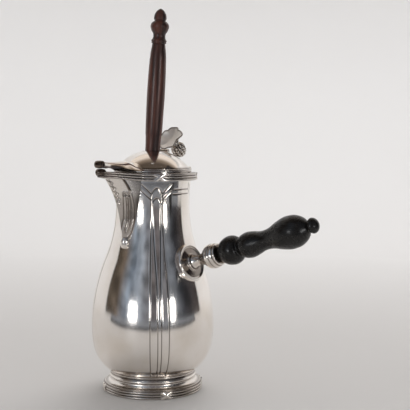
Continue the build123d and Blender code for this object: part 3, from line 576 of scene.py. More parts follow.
def lip_path():
    """Plan of the mouth moulding's back, half of it, from the hinge round to the lip's tip: the mouth's
    circle, a fillet that is tangent to it and to the straight lip, and a turn about the tip.
    With it, the outward direction and how far the back is sunk at the fillet."""
    root, tip = np.array(LIP_ROOT), np.array((0.0, -LIP_TIP_R))
    along = (tip - root) / np.linalg.norm(tip - root)
    outward = np.array((-along[1], along[0]))
    fillet = 9.0
    base = root + outward * fillet
    b, c = base @ along, base @ base - (MOUTH_R + fillet) ** 2
    centre = base + along * (-b + math.sqrt(b * b - c))
    touch_ring = centre * MOUTH_R / np.linalg.norm(centre)
    touch_line = centre - outward * fillet
    ring_end = math.atan2(touch_ring[1], touch_ring[0])
    a = np.linspace(math.pi / 2, ring_end, 110)
    ring = MOUTH_R * np.stack((np.cos(a), np.sin(a)), 1)
    ring_out = ring / MOUTH_R
    f1 = math.atan2(*(touch_ring - centre)[::-1])
    f2 = math.atan2(*(touch_line - centre)[::-1])
    f1, f2 = f1 % (2 * math.pi), f2 % (2 * math.pi)
    f = np.linspace(f1, f2, 16)[1:]
    bend = centre + fillet * np.stack((np.cos(f), np.sin(f)), 1)
    bend_out = (centre - bend) / fillet
    straight = touch_line + np.linspace(0, 1, 26)[1:, None] * (tip - touch_line)
    straight_out = np.repeat(outward[None], len(straight), 0)
    start = math.atan2(outward[1], outward[0])
    n = np.linspace(start, -math.pi / 2, 14)[1:]
    nose = np.repeat(tip[None], len(n), 0)
    nose_out = np.stack((np.cos(n), np.sin(n)), 1)
    plan = np.vstack((ring, bend, straight, nose))
    out = np.vstack((ring_out, bend_out, straight_out, nose_out))
    sunk = np.zeros(len(plan))
    sunk[len(ring) : len(ring) + len(bend)] = np.sin(np.linspace(0, math.pi, len(bend)))
    return plan, out, sunk


def make_mouth_moulding():
    """The reeded moulding: its outline carried along the lip path, thinner and higher towards the tip."""
    plan, out, sunk = lip_path()
    run = np.clip((-plan[:, 1] + LIP_ROOT[1]) / (LIP_TIP_R + LIP_ROOT[1]), 0, 1)
    height = RIM_H + (LIP_H - RIM_H) * run
    bottom = MOUTH_Z - RIM_H + run * (RIM_H - LIP_H + (LIP_TIP_R + LIP_ROOT[1]) * LIP_SLOPE)
    rows, shades = [], []
    for place, outward, deep, tall, low, along in zip(plan, out, sunk, height, bottom, run):
        section = reeded_outline(tall, 0.3 + 0.8 * deep, RIM_T - 2.6 * along**3)
        rows.append(np.column_stack((place + section[:, :1] * outward, low + section[:, 1])))
        worn = 0.4 + 0.4 * smooth_step(0.45, 0.95, along)
        shades.append(np.maximum(groove_shade(section[:, 1], tall), worn))
    half, shades = np.array(rows), np.array(shades)
    half[-1, :, 0] = 0.0
    other = half[-2:0:-1] * np.array((-1, 1, 1))
    grid = np.concatenate((half, other))
    shades = np.concatenate((shades, shades[-2:0:-1]))
    return mesh_piece(
        "mouth_moulding",
        grid.reshape(-1, 3),
        grid_faces(grid.shape[0], grid.shape[1], close_rows=True, close_columns=True),
        replaces=("rim_moulding",),
        tarnish=shades.ravel(),
    )


def make_tie(name, radius, low, high, degrees, node):
    """Two ribbons crossed over a moulding. Each is a strip whose centre climbs at the lean's angle across
    the reeds, r = radius + a low crown over its width, with the second a little higher at the crossing."""
    height = high - low
    pieces_points, quads, start = [], [], 0
    for way in (-1, 1):
        u = np.linspace(-1, 1, 40)[:, None]
        v = np.linspace(-1, 1, 11)[None]
        along = u * height / 2 / math.sin(RIBBON_LEAN)
        width = 1.15 * (1 + 0.25 * u**2)
        side = v * width
        t = along * math.cos(RIBBON_LEAN) - side * math.sin(RIBBON_LEAN)
        z = np.clip(along * math.sin(RIBBON_LEAN) + side * math.cos(RIBBON_LEAN), -height / 2, height / 2)
        crown = 0.45 + 0.3 * (1 - v**2) + (0.3 if way > 0 else 0) * hump(u, 0.35)
        top = radius + crown * np.sqrt(np.clip(1 - (z / (height / 2 + 0.4)) ** 2 * 0.35, 0.05, 1))
        base = np.full_like(top, radius - 0.8)
        a = math.radians(degrees) + way * t / radius
        for r in (top, base):
            pieces_points.append(round_points(r, a, z + (low + high) / 2).reshape(-1, 3))
        ribbon = two_sided_faces(len(u), v.size, start)
        quads.append(ribbon[:, ::-1] if way < 0 else ribbon)
        start += 2 * u.size * v.size
    return mesh_piece(name, np.vstack(pieces_points), np.vstack(quads), replaces=(node,))


def make_foot():
    """The foot: a turned collar over a hollow flare, with a bead at each end of the flare."""
    outline = line_of(
        (33.2, 15.9),
        half_round((33.3, 15.2), 0.75, 80, -70, 7),
        (33.2, 14.2),
        (33.5, 13.6),
        half_round((33.4, 11.6), 1.0, 60, -70, 9),
        bezier((33.0, 10.2), (33.0, 6.9), (37.2, 6.7), steps=16),
        half_round((37.6, 6.35), 0.7, 80, 0, 5),
        (38.3, 6.0),
        (36.9, 6.0),
        bezier((36.9, 6.0), (31.4, 6.0), (31.2, 10.2), steps=12),
        (32.0, 14.4),
        (32.4, 15.6),
    )

    def recess_shade(_, z):
        """Dark under the body, in the groove between the beads, and where the flare meets the reeds."""
        groove = np.maximum(dark_line(z, 13.7, 0.9, 0.2), dark_line(z, 10.3, 0.8, 0.2))
        under, reeds = smooth_step(15.1, 15.8, z), smooth_step(7.3, 6.6, z)
        return np.maximum.reduce((0.85 * groove, 0.9 * under, 0.7 * reeds))

    return turned("stepped_foot", outline, count=180, replaces=("foot",), shade=recess_shade)


def make_foot_moulding():
    """The reeded ring that the pot stands on: the reeded outline turned about Z, flat below."""
    reeds = reeded_outline(RIM_H, 0.0) + (FOOT_R - RIM_T, 0)
    outline = line_of((FOOT_R - 3.4, 0), reeds[1:-1], (FOOT_R - 3.4, RIM_H))
    return turned(
        "foot_moulding",
        outline,
        count=180,
        replaces=("foot_rim",),
        shade=lambda r, z: np.maximum(groove_shade(z, RIM_H), 0.42),
    )


# ------------------------------------------------------------------ handle
def along_handle(points):
    """Outline points given as (distance along the handle, radius), turned into (radius, distance)."""
    return np.array(points, float)[:, ::-1]


def make_handle():
    """Boss, socket and grip: three outlines turned about the handle's own rising axis."""
    side = (-math.sin(HANDLE_RISE), 0.0, math.cos(HANDLE_RISE))
    placing = dict(origin=HANDLE_SEAT, axis=HANDLE_AXIS, side=side)

    def plate_shade(r, _):
        """Dark in the plate's hollow and in the groove inside its bead."""
        hollow = 0.78 * smooth_step(12.4, 11.4, r) * smooth_step(5.5, 7.5, r)
        return np.maximum(hollow, 0.8 * dark_line(r, 12.6, 0.5, 0.1))

    def socket_shade(_, d):
        """Dark in the socket's three turned grooves and at its mouth."""
        lines = [dark_line(d, at, 0.5, 0.15) for at in (4.1, 24.0, 27.2)]
        return 0.9 * np.maximum.reduce(lines + [smooth_step(28.8, 29.4, d)])

    boss = line_of(
        (-3.5, 0),
        (-3.5, 13.0),
        (0.2, 14.4),
        half_round((0.6, 13.6), 0.95, 100, 0, 8),
        bezier((1.5, 12.9), (0.4, 11.8), (1.0, 10.4), steps=8),
        bezier((1.0, 10.4), (1.6, 8.0), (1.9, 7.0), steps=8),
        (2.4, 6.6),
        (2.4, 5.4),
        (2.4, 0),
    )
    outline = along_handle(boss)
    turned("handle_plate", outline, count=112, replaces=("handle_boss",), shade=plate_shade, **placing)
    socket = line_of(
        (2.4, 0),
        (2.4, 6.2),
        half_round((3.2, 5.9), 0.75, 100, 10, 6),
        bezier((4.2, 5.3), (7.0, 4.2), (10.0, 4.15), steps=10),
        bezier((10.0, 4.15), (14.5, 4.2), (17.2, 7.2), steps=12),
        bezier((17.2, 7.2), (19.4, 9.6), (22.6, 9.6), steps=12),
        (23.6, 9.55),
        (24.0, 9.25),
        (24.4, 9.45),
        bezier((24.4, 9.45), (26.0, 9.3), (26.9, 8.7), steps=6),
        (27.3, 8.3),
        half_round((28.2, 7.75), 0.75, 130, 0, 7),
        (29.4, 7.1),
        (29.6, 5.2),
        (21.8, 5.2),
        (21.8, 0),
    )
    outline = along_handle(socket)
    turned("handle_socket_cup", outline, count=112, replaces=("handle_socket",), shade=socket_shade, **placing)
    first_ball = [(30.0, 5.6), (31.6, 6.2), (33.2, 7.9), (36.4, 10.0), (41.0, 11.0), (44.6, 10.4), (47.0, 8.9)]
    small_bulb = [(50.3, 7.3), (53.0, 8.8), (57.7, 9.7), (63.0, 8.9), (68.0, 7.6), (72.2, 7.2), (78.0, 7.9)]
    big_bulb = [(85.0, 10.3), (91.0, 11.8), (95.0, 12.0), (100.0, 11.3), (105.0, 8.6), (108.2, 5.0), (109.4, 3.5)]
    button = [(109.6, 3.4), (110.4, 4.6), (112.6, 5.7), (115.2, 4.6), (117.0, 1.8), (117.4, 0)]
    grip = line_of(
        (21.9, 0),
        (21.9, 5.1),
        (29.7, 5.1),
        through(first_ball, 6),
        through([(47.6, 8.2), (48.2, 7.0), (49.2, 6.5), (50.2, 7.2)], 5),
        through(small_bulb + big_bulb, 7),
        through(button, 6),
    )
    outline = along_handle(grip)
    turned("turned_grip", outline, count=96, replaces=("handle_grip",), slot="dark_wood", **placing)


# ------------------------------------------------------------------ lid
def dome_height(radius, inset=0.0):
    """Height of the lid's dome at a radius: a sphere's cap, drawn in by a wall."""
    return DOME_TOP - DOME_BALL + np.sqrt((DOME_BALL - inset) ** 2 - radius**2)


def make_lid():
    """The dome with its rounded hole and, below it, the band of two beads that rests over the mouth."""
    r = np.linspace(29.0, 8.3, 46)
    outer = np.column_stack((r, dome_height(r)))
    lip_z = dome_height(8.3)
    under = np.linspace(7.6, 26.6, 24)
    inner = np.column_stack((under, dome_height(under, SHEET)))
    dome = line_of(
        outer,
        half_round((8.2, lip_z - 0.45), 0.55, 60, 180, 9),
        (7.6, dome_height(7.6, SHEET)),
        inner,
        (27.2, DOME_BASE),
    )
    # Painted shade: a dark ring at the dome's foot, where it meets the band, and round the lip of the stirrer's
    # hole.
    turned(
        "lid_dome_shell",
        dome,
        count=160,
        body="lid",
        replaces=("lid_dome",),
        shade=lambda r, z: 0.75 * smooth_step(27.9, 28.9, r) + 0.8 * smooth_step(8.0, 7.6, r),
    )

    def band_shade(_, z):
        """Painted shade between the band's two beads and under the lower one, over a light darkening all round.
        """
        return np.maximum(0.2, 0.85 * dark_line(z, 173.9, 0.4, 0.1) + 0.8 * smooth_step(172.7, 172.4, z))

    band = line_of(
        (28.4, 172.35),
        (29.7, 172.35),
        half_round((29.75, 173.15), 0.8, -80, 80, 9),
        half_round((29.1, 174.35), 0.55, -40, 90, 7),
        (28.3, 175.05),
    )
    turned(
        "lid_band",
        band,
        count=160,
        body="lid",
        replaces=("lid_edge",),
        shade=band_shade,
    )


def make_beak():
    """The roof over the spout: arches across -Y, z = low + (ridge - low) * (1 - |a|^1.8), blended into the
    dome's sphere at the back, with a wall's thickness, and a small scroll at the tip."""
    y = np.linspace(-BEAK_ROOT, -BEAK_TIP, 72)
    run = (-y - BEAK_ROOT) / (BEAK_TIP - BEAK_ROOT)
    half = np.interp(run, (0, 0.08, 0.4, 0.75, 1), (16.0, 15.0, 9.3, 4.5, 2.7))
    low = np.interp(run, (0, 0.2, 0.35, 0.5, 0.72, 0.9, 1), (172.9, 172.9, 174.7, 176.2, 175.6, 176.8, 177.6))
    low, half = (np.convolve(np.pad(line, 4, mode="edge"), np.ones(9) / 9, "valid") for line in (low, half))
    ridge = natural_spline((0, 0.3, 0.7, 1.0), (183.8, 181.6, 180.6, 181.4), run)
    a = np.linspace(-1, 1, 49)
    shells = []
    for inset in (0.0, 1.0):
        x = (half - inset * 0.8)[:, None] * np.sign(a) * np.abs(a) ** 0.9
        z = low[:, None] + (ridge - inset - low)[:, None] * (1 - np.abs(a) ** 1.8)
        on_dome = dome_height(np.minimum(np.hypot(x, y[:, None]), DOME_R)) - 0.35 - inset
        blend = smooth_step(0.0, 0.34, run)[:, None]
        z = blend * z + (1 - blend) * on_dome
        shells.append(np.stack((x, np.broadcast_to(y[:, None], x.shape), z), 2))
    outer, inner = shells
    points = np.vstack((outer.reshape(-1, 3), inner.reshape(-1, 3)))
    quads = two_sided_faces(*outer.shape[:2])
    # Painted shade: the roof's underside is darkened all over.
    shade = np.repeat((0.0, 0.75), outer[..., 0].size)
    mesh_piece("lid_beak_roof", points, quads, body="lid", replaces=("lid_beak",), tarnish=shade)
    scroll_end("beak_scroll", (0, -60.7, 179.0), 2.9, 2.9, "lid")


def scroll_end(name, middle, radius, half, body):
    """A rolled end lying across the spout: a barrel turned about X, r = radius * (1 - 0.13 (x / half)^4),
    with rings sunk in its flat ends, x = half - 0.35 cos(5 pi u) over the inner nine tenths."""
    u = np.linspace(0, 1, 40)
    ringed = np.column_stack((radius * 0.93 * u, half - 0.35 * np.cos(u * 5 * np.pi) * (u < 0.9)))
    x = np.linspace(half, -half, 15)
    barrel = np.column_stack((radius * (1 - 0.13 * (x / half) ** 4), x))
    outline = line_of(ringed, barrel[1:-1], ringed[::-1] * (1, -1))
    turned(
        name,
        outline,
        origin=middle,
        axis=(1, 0, 0),
        side=(0, 0, 1),
        count=56,
        body=body,
        tarnish=0.93,
        crease=SMALL_SHARP_DEGREES,
    )


# ------------------------------------------------------------------ finial
def make_finial():
    """The flip-up cover of the hole, standing open, and the bud that is its knob.

    The cover is a shallow shell with five petals: r = R * (0.79 + 0.21 |cos 2.5a|), and its depth is
    rise * (1 - share^2.6). The bud is a turned outline whose radius swells with twelve ribs and five rows."""
    axis = np.array((0.0, math.sin(COVER_OPEN), math.cos(COVER_OPEN)))
    far = np.array((0.0, -math.cos(COVER_OPEN), math.sin(COVER_OPEN)))
    across = np.array((1.0, 0.0, 0.0))
    middle = COVER_HINGE + COVER_REACH * far
    a = np.linspace(0, 2 * np.pi, 160, endpoint=False)
    share = np.linspace(0, 1, 34)[1:, None]
    petal = 11.5 * (0.79 + 0.21 * np.abs(np.cos(2.5 * a)))
    petal = petal + 3.3 * hump(a - np.pi, 0.28)
    level = -0.4 + 3.6 * (1 - share**2.6) + 0.6 * share**4 * np.cos(5 * a)
    vein = 0.25 * np.cos(10 * a) * share**2
    shells = []
    for inset in (0.0, 0.9):
        radius = petal * share - 0.3 * (inset > 0) * share
        ring = np.cos(a)[:, None] * far + np.sin(a)[:, None] * across
        shells.append(middle + radius[..., None] * ring + (level - inset + vein)[..., None] * axis)
    outer, inner = shells
    rows, count = outer.shape[:2]
    grid = np.concatenate((inner, outer[::-1]))
    poles = middle + np.array(((level[0].mean() - 0.9,), (level[0].mean(),))) * axis
    points = np.vstack((grid.reshape(-1, 3), poles))
    # Painted shadow: the cover's rim is darkened all round as the shade on its edge, and its outer face is a
    # little darker than its inner one.
    rim = smooth_step(0.88, 0.97, share) * np.ones(count)
    shade = np.concatenate((0.05 + 0.8 * rim, (0.35 + 0.5 * rim)[::-1])).ravel()
    mesh_piece(
        "petalled_cover",
        points,
        grid_faces(2 * rows, count, close_columns=True),
        pole_fans(2 * rows, count),
        body="finial",
        replaces=("finial_cap",),
        tarnish=np.concatenate((shade, (0.0, 0.3))),
    )
    knuckle = [(0.75, -1.7), (1.35, -1.7), (1.5, -1.55), (1.5, 1.55), (1.35, 1.7), (0.75, 1.7)]
    turned(
        "cover_knuckle",
        knuckle,
        origin=COVER_HINGE,
        axis=(1, 0, 0),
        side=(0, 0, 1),
        count=40,
        body="finial",
        crease=SMALL_SHARP_DEGREES,
    )
    placing = dict(origin=middle, axis=axis, side=across, body="finial")
    calyx = line_of(
        (0, 4.6),
        (4.4, 4.6),
        half_round((4.0, 5.4), 0.8, -60, 60, 6),
        bezier((3.9, 6.2), (2.8, 6.8), (3.4, 9.2), steps=8),
        (0, 9.3),
    )
    turned(
        "knob_calyx",
        calyx,
        count=72,
        replaces=("finial_calyx",),
        shade=lambda r, h: 0.4 + 0.4 * smooth_step(6.0, 7.0, h),
        **placing,
    )
    swell = [(0, 9.2), (3.6, 9.4), (5.3, 11.4), (5.8, 14.0), (5.2, 17.2), (3.4, 20.2), (1.4, 21.8), (0, 22.2)]
    bud = through(swell, 9)
    turned("ribbed_bud", bud, count=144, replaces=("finial_bud",), **placing)
    mesh = bpy.data.objects["ribbed_bud"].data
    place = np.zeros(len(mesh.vertices) * 3, np.float32)
    mesh.vertices.foreach_get("co", place)
    place = place.reshape(-1, 3).astype(float) / MM - middle
    up = place @ axis
    out = place - up[:, None] * axis
    angle = np.arctan2(out @ across, out @ far)
    ribs, rings = np.cos(12 * angle), np.cos(2 * np.pi * (up - 9.2) / 2.6 + 1.5 * np.cos(6 * angle))
    place = place + out * (0.055 * ribs + 0.03 * rings)[:, None]
    mesh.vertices.foreach_set("co", ((place + middle) * MM).astype(np.float32).ravel())
    dark = np.clip(0.55 - 0.4 * ribs - 0.35 * rings, 0.05, 0.95)
    mesh.attributes["tarnish"].data.foreach_set("value", dark.astype(np.float32))
    mesh.update()


# ------------------------------------------------------------------ stirrer
def make_stirrer():
    """The rod: its outline along the leaning axis, from the head inside the pot to the acorn on top."""
    def up(z):
        return (z - DOME_TOP) / STIRRER_AXIS[2]

    def raised(*points):
        """Points given as (radius, height above the table)."""
        return [(radius, up(z)) for radius, z in points]

    across = np.array((-math.sin(STIRRER_WAY), math.cos(STIRRER_WAY), 0.0))
    bottom = -170.0
    shaft = [(4.4, bottom + 27), (5.0, -80), (5.9, 0)]
    shaft += raised((6.6, 206), (7.0, 236), (6.4, 260), (5.2, 270.5))
    knob = raised((5.2, 275.2), (4.7, 277.0), (5.0, 279.4), (6.3, 281.6), (7.2, 284.5), (6.6, 287.0))
    knob += raised((5.0, 288.6), (4.2, 289.0))
    acorn = raised((4.2, 289.1), (4.8, 290.4), (4.9, 291.6), (4.4, 294.0), (3.0, 296.4), (1.4, 297.8), (0, 298.4))
    rod = line_of(
        (0, bottom),
        (4.3, bottom),
        (4.4, bottom + 27),
        through(shaft, 12),
        (5.0, up(271.6)),
        half_round((5.2, up(272.4)), 0.6, -80, 30, 5),
        half_round((5.2, up(274.0)), 0.85, -50, 60, 7),
        through(knob, 7),
        through(acorn, 7),
    )
    turned(
        "turned_rod",
        rod,
        origin=STIRRER_HOLE,
        axis=STIRRER_AXIS,
        side=across,
        count=96,
        body="stirrer",
        replaces=("stirrer_rod",),
        slot="red_wood",
    )


# ------------------------------------------------------------------ finishes
CLEAN_SILVER, DULL_SILVER = (0.945, 0.90, 0.855), (0.84, 0.77, 0.69)
# The brown of the patina, also used for the painted shade that some pieces carry in their darkening value.
TARNISH_AND_SHADE_BROWN = (0.10, 0.068, 0.046)
CREVICE_METRES = 0.0022
RAMP_METRES = 2.0


def fill(tree, node, values):
    """Sets a node's sockets, by name or place, to values, or feeds them from other nodes' sockets."""
    for label, value in values.items():
        if hasattr(value, "is_output"):
            tree.links.new(value, node.inputs[label])
        else:
            node.inputs[label].default_value = value


def add_node(tree, kind, values=None, **settings):
    """A new shader node with its settings, such as an operation, and its sockets filled."""
    node = tree.nodes.new("ShaderNode" + kind)
    for label, setting in settings.items():
        setattr(node, label, setting)
    fill(tree, node, values or {})
    return node


def add_math(tree, operation, *terms):
    """The result of a math node over sockets or numbers."""
    return add_node(tree, "Math", dict(enumerate(terms)), operation=operation).outputs[0]


def carried(tree, value, from_min, from_max, to_min, to_max):
    """A socket's value carried from one range to another and kept inside it."""
    values = {"Value": value, "From Min": from_min, "From Max": from_max, "To Min": to_min, "To Max": to_max}
    return add_node(tree, "MapRange", values).outputs["Result"]


def ramp(tree, fac, stops):
    """A colour ramp over (place, colour) stops, fed by a socket."""
    node = add_node(tree, "ValToRGB", {"Fac": fac})
    elements = node.color_ramp.elements
    while len(elements) < len(stops):
        elements.new(0.5)
    for element, (place, colour) in zip(elements, stops):
        element.position = place
        element.color = (*colour, 1.0)
    return node.outputs["Color"]


def new_material(name):
    """A material, its node tree and its main shader."""
    material = bpy.data.materials.new(name)
    material.use_nodes = True
    return material, material.node_tree, material.node_tree.nodes["Principled BSDF"]


def make_wear_group():
    """Worn polish: slow waves of hand raising, fine wipe marks and a few cloudy patches."""
    group = bpy.data.node_groups.new("worn_polish", "ShaderNodeTree")
    group.interface.new_socket("Vector", in_out="INPUT", socket_type="NodeSocketVector")
    for label in ("Wave Scale", "Mark Scale"):
        group.interface.new_socket(label, in_out="INPUT", socket_type="NodeSocketFloat")
    for label in ("Height", "Cloud", "Marks"):
        group.interface.new_socket(label, in_out="OUTPUT", socket_type="NodeSocketFloat")
    inside, outside = group.nodes.new("NodeGroupInput"), group.nodes.new("NodeGroupOutput")
    noises = {
        "Height": {"Scale": inside.outputs["Wave Scale"], "Detail": 1.5},
        "Cloud": {"Scale": 38, "Detail": 5},
        "Marks": {"Scale": inside.outputs["Mark Scale"], "Detail": 6, "Roughness": 0.7},
    }
    for label, values in noises.items():
        noise = add_node(group, "TexNoise", {"Vector": inside.outputs["Vector"], **values})
        group.links.new(noise.outputs["Fac"], outside.inputs[label])
    return group


def silver_finish(name, wear, rough, crevice=0.8, metal=1.0):
    """Polished silver: warm white metal, cloudy where it has dulled, rougher in the wipe marks, and brown
    by the piece's darkening value, which is patina and in places painted shade, and in the recesses by how closed
    in a place is."""
    material, tree, shader = new_material(name)
    place = add_node(tree, "TexCoord").outputs["Object"]
    worn = add_node(
        tree, "Group", {"Vector": place, "Wave Scale": 46.0, "Mark Scale": 900.0}, node_tree=wear
    ).outputs
    colour = ramp(tree, worn["Cloud"], [(0.42, CLEAN_SILVER), (0.74, DULL_SILVER)])
    # The darkening value: patina, and painted shade where a piece asks for it.
    darkened = add_node(tree, "Attribute", attribute_name="tarnish").outputs["Fac"]
    closed = add_node(tree, "AmbientOcclusion", {"Distance": CREVICE_METRES}, samples=4, only_local=True)
    hidden = carried(tree, closed.outputs["AO"], 0.75, 0.3, 0.0, crevice)
    amount = add_math(tree, "MAXIMUM", darkened, hidden)
    brown = add_node(tree, "Mix", data_type="RGBA")
    fill(tree, brown, {"Factor": amount, 6: colour, 7: (*TARNISH_AND_SHADE_BROWN, 1.0)})
    bump = add_node(tree, "Bump", {"Strength": 0.16, "Distance": 0.0006, "Height": worn["Height"]})
    fill(
        tree,
        shader,
        {
            "Metallic": metal,
            "Base Color": brown.outputs[2],
            "Roughness": carried(tree, worn["Marks"], 0.35, 0.72, *rough),
            "Normal": bump.outputs["Normal"],
        },
    )
    return material


def wood_finish(name, lean_degrees, dark, light, rough, coat):
    """Turned wood: streaks drawn out along the piece's leaning axis, with fine pores, under a thin polish."""
    material, tree, shader = new_material(name)
    place = add_node(tree, "TexCoord").outputs["Object"]
    mapping = add_node(tree, "Mapping", vector_type="TEXTURE")
    turn = (0, math.radians(lean_degrees), 0)
    fill(tree, mapping, {"Vector": place, "Rotation": turn, "Scale": (1.0, 1.0, 14.0)})
    drawn = mapping.outputs["Vector"]
    streaks = add_node(tree, "TexNoise", {"Vector": drawn, "Scale": 260.0, "Detail": 5, "Distortion": 0.6})
    pores = add_node(tree, "TexNoise", {"Vector": drawn, "Scale": 1500.0, "Detail": 3}).outputs["Fac"]
    bump = add_node(tree, "Bump", {"Strength": 0.25, "Distance": 0.00015, "Height": pores})
    fill(
        tree,
        shader,
        {
            "Coat Weight": coat,
            "Coat Roughness": 0.12,
            "Specular IOR Level": 0.4,
            "Base Color": ramp(tree, streaks.outputs["Fac"], [(0.36, dark), (0.66, light)]),
            "Roughness": carried(tree, pores, 0.35, 0.7, *rough),
            "Normal": bump.outputs["Normal"],
        },
    )
    return material


# ------------------------------------------------------------------ build
body = make_pot_body()
points, quads, triangles = channel_cutter()
cutter = mesh_piece("channel_tool", points, quads, triangles, crease=SMALL_SHARP_DEGREES)
cutting = body.modifiers.new("spout opening", "BOOLEAN")
cutting.object = cutter
cutting.solver = "EXACT"
bpy.context.view_layer.update()
opened = bpy.data.meshes.new_from_object(body.evaluated_get(bpy.context.evaluated_depsgraph_get()))
body.modifiers.clear()
body.data = opened
body.data.name = "pot_body"
bpy.data.objects.remove(cutter)

make_spout()
make_mouth_moulding()
make_foot()
make_foot_moulding()
for index in range(4):
    turn = 90.0 * index
    make_tie(f"foot_ribbons_{index + 1}", FOOT_R, 0.4, 5.8, -35 + turn, f"foot_tie_{index + 1}")
    make_tie(f"rim_ribbons_{index + 1}", MOUTH_R + RIM_T, 166.2, 171.8, -41 + turn, f"rim_tie_{index + 1}")
make_handle()
make_lid()
make_beak()
make_finial()
scroll_end("lip_scroll", (0, -59.4, 173.0), 2.85, 3.0, "pot")
make_stirrer()

CHASED_PIECES = ("beak_spout", "mouth_moulding", "stepped_foot", "foot_moulding", "lid_band", "spout_drop")
wear = make_wear_group()
silver = silver_finish("polished_silver", wear, (0.09, 0.17))
silver_small = silver_finish("silver_of_small_parts", wear, (0.12, 0.24), crevice=0.95)
silver_chased = silver_finish("softly_worn_silver", wear, (0.19, 0.3), crevice=0.95)
silver_cast = silver_finish("matt_cast_silver", wear, (0.34, 0.46), crevice=0.95, metal=0.5)
black = wood_finish("blackened_wood", 72, (0.0028, 0.0025, 0.0024), (0.008, 0.007, 0.0062), (0.24, 0.34), 0.0)
rosewood = wood_finish("rosewood", 5.4, (0.018, 0.006, 0.0045), (0.10, 0.032, 0.02), (0.32, 0.46), 0.15)


def finish_of(piece):
    """The finish that a piece's slot, name and making ask for."""
    said = (part["material_slot"] for part in frame["record"]["subparts"] if part["node"] == piece.name)
    slot = piece.get("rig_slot") or next(said, "silver")
    if slot != "silver":
        return {"dark_wood": black, "red_wood": rosewood}[slot]
    if piece.name == "petalled_cover":
        return silver_cast
    if piece.name in CHASED_PIECES or "ribbons" in piece.name:
        return silver_chased
    return silver_small if piece.get("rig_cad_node") else silver


for piece in [thing for thing in bpy.data.objects if thing.type == "MESH"]:
    finish = finish_of(piece)
    piece.data.materials.clear()
    piece.data.materials.append(finish)


# ------------------------------------------------------------------ stage
CAMERA_POLAR = -49.975
CAMERA_FAR, CAMERA_UP = 0.7163, 0.1942
CAMERA_YAW, CAMERA_PITCH, CAMERA_ROLL = -3.31, -3.848, 0.179
FOCUS_PIXELS, IMAGE_PIXELS, SENSOR_MM = 905.5, 410.0, 36

# The paper's painted shade: darker near the pot, paler far from it.
SHADED_NEAR_PAPER, FAR_PAPER = (0.64, 0.62, 0.605), (0.855, 0.845, 0.84)
FLOOR_R, FLOOR_SIDES = 3, 96
SWEEP_FROM, SWEEP_R, SWEEP_TOP = 0.9, 0.6, 1.6
SWEEP_LEFT, SWEEP_RIGHT = 100, 260
ROOM_R, ROOM_TALL, ROOM_LEFT, ROOM_RIGHT = 1.9, 2.2, -108, 104
TABLE_EDGE, TABLE_SIDE = 0.39, 84
CEILING_Z = 2.0
ROOM_STOPS = [
    (0.0, (0.05, 0.04, 0.028)),
    (0.16, (0.13, 0.105, 0.085)),
    (0.27, (0.22, 0.27, 0.34)),
    (0.38, (0.27, 0.31, 0.37)),
    (0.48, (0.14, 0.135, 0.145)),
    (0.58, (0.13, 0.12, 0.125)),
    (0.68, (0.17, 0.19, 0.22)),
    (0.80, (0.04, 0.042, 0.05)),
    (1.0, (0.05, 0.04, 0.036)),
]
BEYOND_STOPS = [
    (0.0, (0.05, 0.05, 0.055)),
    (0.22, (0.06, 0.06, 0.068)),
    (0.42, (0.24, 0.26, 0.29)),
    (1.0, (0.2, 0.21, 0.24)),
]
CEILING_STOPS = [
    (0.0, (0.08, 0.065, 0.052)),
    (0.52, (0.09, 0.07, 0.055)),
    (0.62, (0.3, 0.24, 0.19)),
    (0.74, (0.82, 0.74, 0.67)),
]


def plain_surface(name, colours, roughness):
    """A matt paper-like surface with painted shade: its tone is darker near the pot and paler with the distance
    from it, a little unevenly.
    """
    material, tree, shader = new_material(name)
    place = add_node(tree, "TexCoord").outputs["Object"]
    noise = add_node(tree, "TexNoise", {"Vector": place, "Scale": 3.0})
    away = add_node(tree, "VectorMath", {0: place}, operation="LENGTH")
    uneven = add_math(tree, "MULTIPLY_ADD", noise.outputs["Fac"], 0.08, away.outputs["Value"])
    stops = [(metres / RAMP_METRES, colour) for metres, colour in colours]
    tone = ramp(tree, add_math(tree, "MULTIPLY", uneven, 1 / RAMP_METRES), stops)
    fill(tree, shader, {"Roughness": roughness, "Specular IOR Level": 0.1, "Base Color": tone})
    return material


def glow(name, stops, along="X", fade=0.0, patches=0.1):
    """A dim surface whose light follows a ramp along one UV direction, with paler and darker patches like
    the things in a room. Up to fade along Y it is a soft edge that lets what lies behind show through."""
    material, tree, shader = new_material(name)
    tree.nodes.remove(shader)
    place = add_node(tree, "TexCoord").outputs["UV"]
    split = add_node(tree, "SeparateXYZ", {"Vector": place}).outputs
    things = add_node(tree, "TexNoise", {"Vector": place, "Scale": 9.0, "Detail": 3.0})
    patchy = carried(tree, things.outputs["Fac"], 0.36, 0.64, 1 - patches, 1 + patches)
    light = add_node(tree, "Emission", {"Color": ramp(tree, split[along], stops), "Strength": patchy})
    surface = light.outputs["Emission"]
    if fade:
        edge = ramp(tree, split["Y"], [(0.0, (0, 0, 0)), (fade, (1, 1, 1))])
        clear = add_node(tree, "BsdfTransparent").outputs["BSDF"]
        surface = add_node(tree, "MixShader", {0: edge, 1: clear, 2: surface}).outputs["Shader"]
    tree.links.new(surface, tree.nodes["Material Output"].inputs["Surface"])
    return material


def stage_mesh(name, points, faces, material, uv=None):
    """A stage surface from points in metres, with an optional UV for each point."""
    mesh = bpy.data.meshes.new(name)
    points = np.reshape(points, (-1, 3))
    mesh.from_pydata([tuple(p) for p in points], [], [tuple(int(i) for i in face) for face in faces])
    mesh.materials.append(material)
    if uv is not None:
        layer = mesh.uv_layers.new(name="round")
        index = np.zeros(len(mesh.loops), np.int32)
        mesh.loops.foreach_get("vertex_index", index)
        layer.data.foreach_set("uv", np.reshape(uv, (-1, 2)).astype(np.float32)[index].ravel())
    mesh.polygons.foreach_set("use_smooth", np.ones(len(mesh.polygons), bool))
    piece = bpy.data.objects.new(name, mesh)
    bpy.context.scene.collection.objects.link(piece)
    return piece


def around(metres, degrees_from_camera, height):
    """A place at a distance from the pot's axis, by its angle from the camera's direction."""
    a = math.radians(CAMERA_POLAR + degrees_from_camera)
    return (metres * math.cos(a), metres * math.sin(a), height)


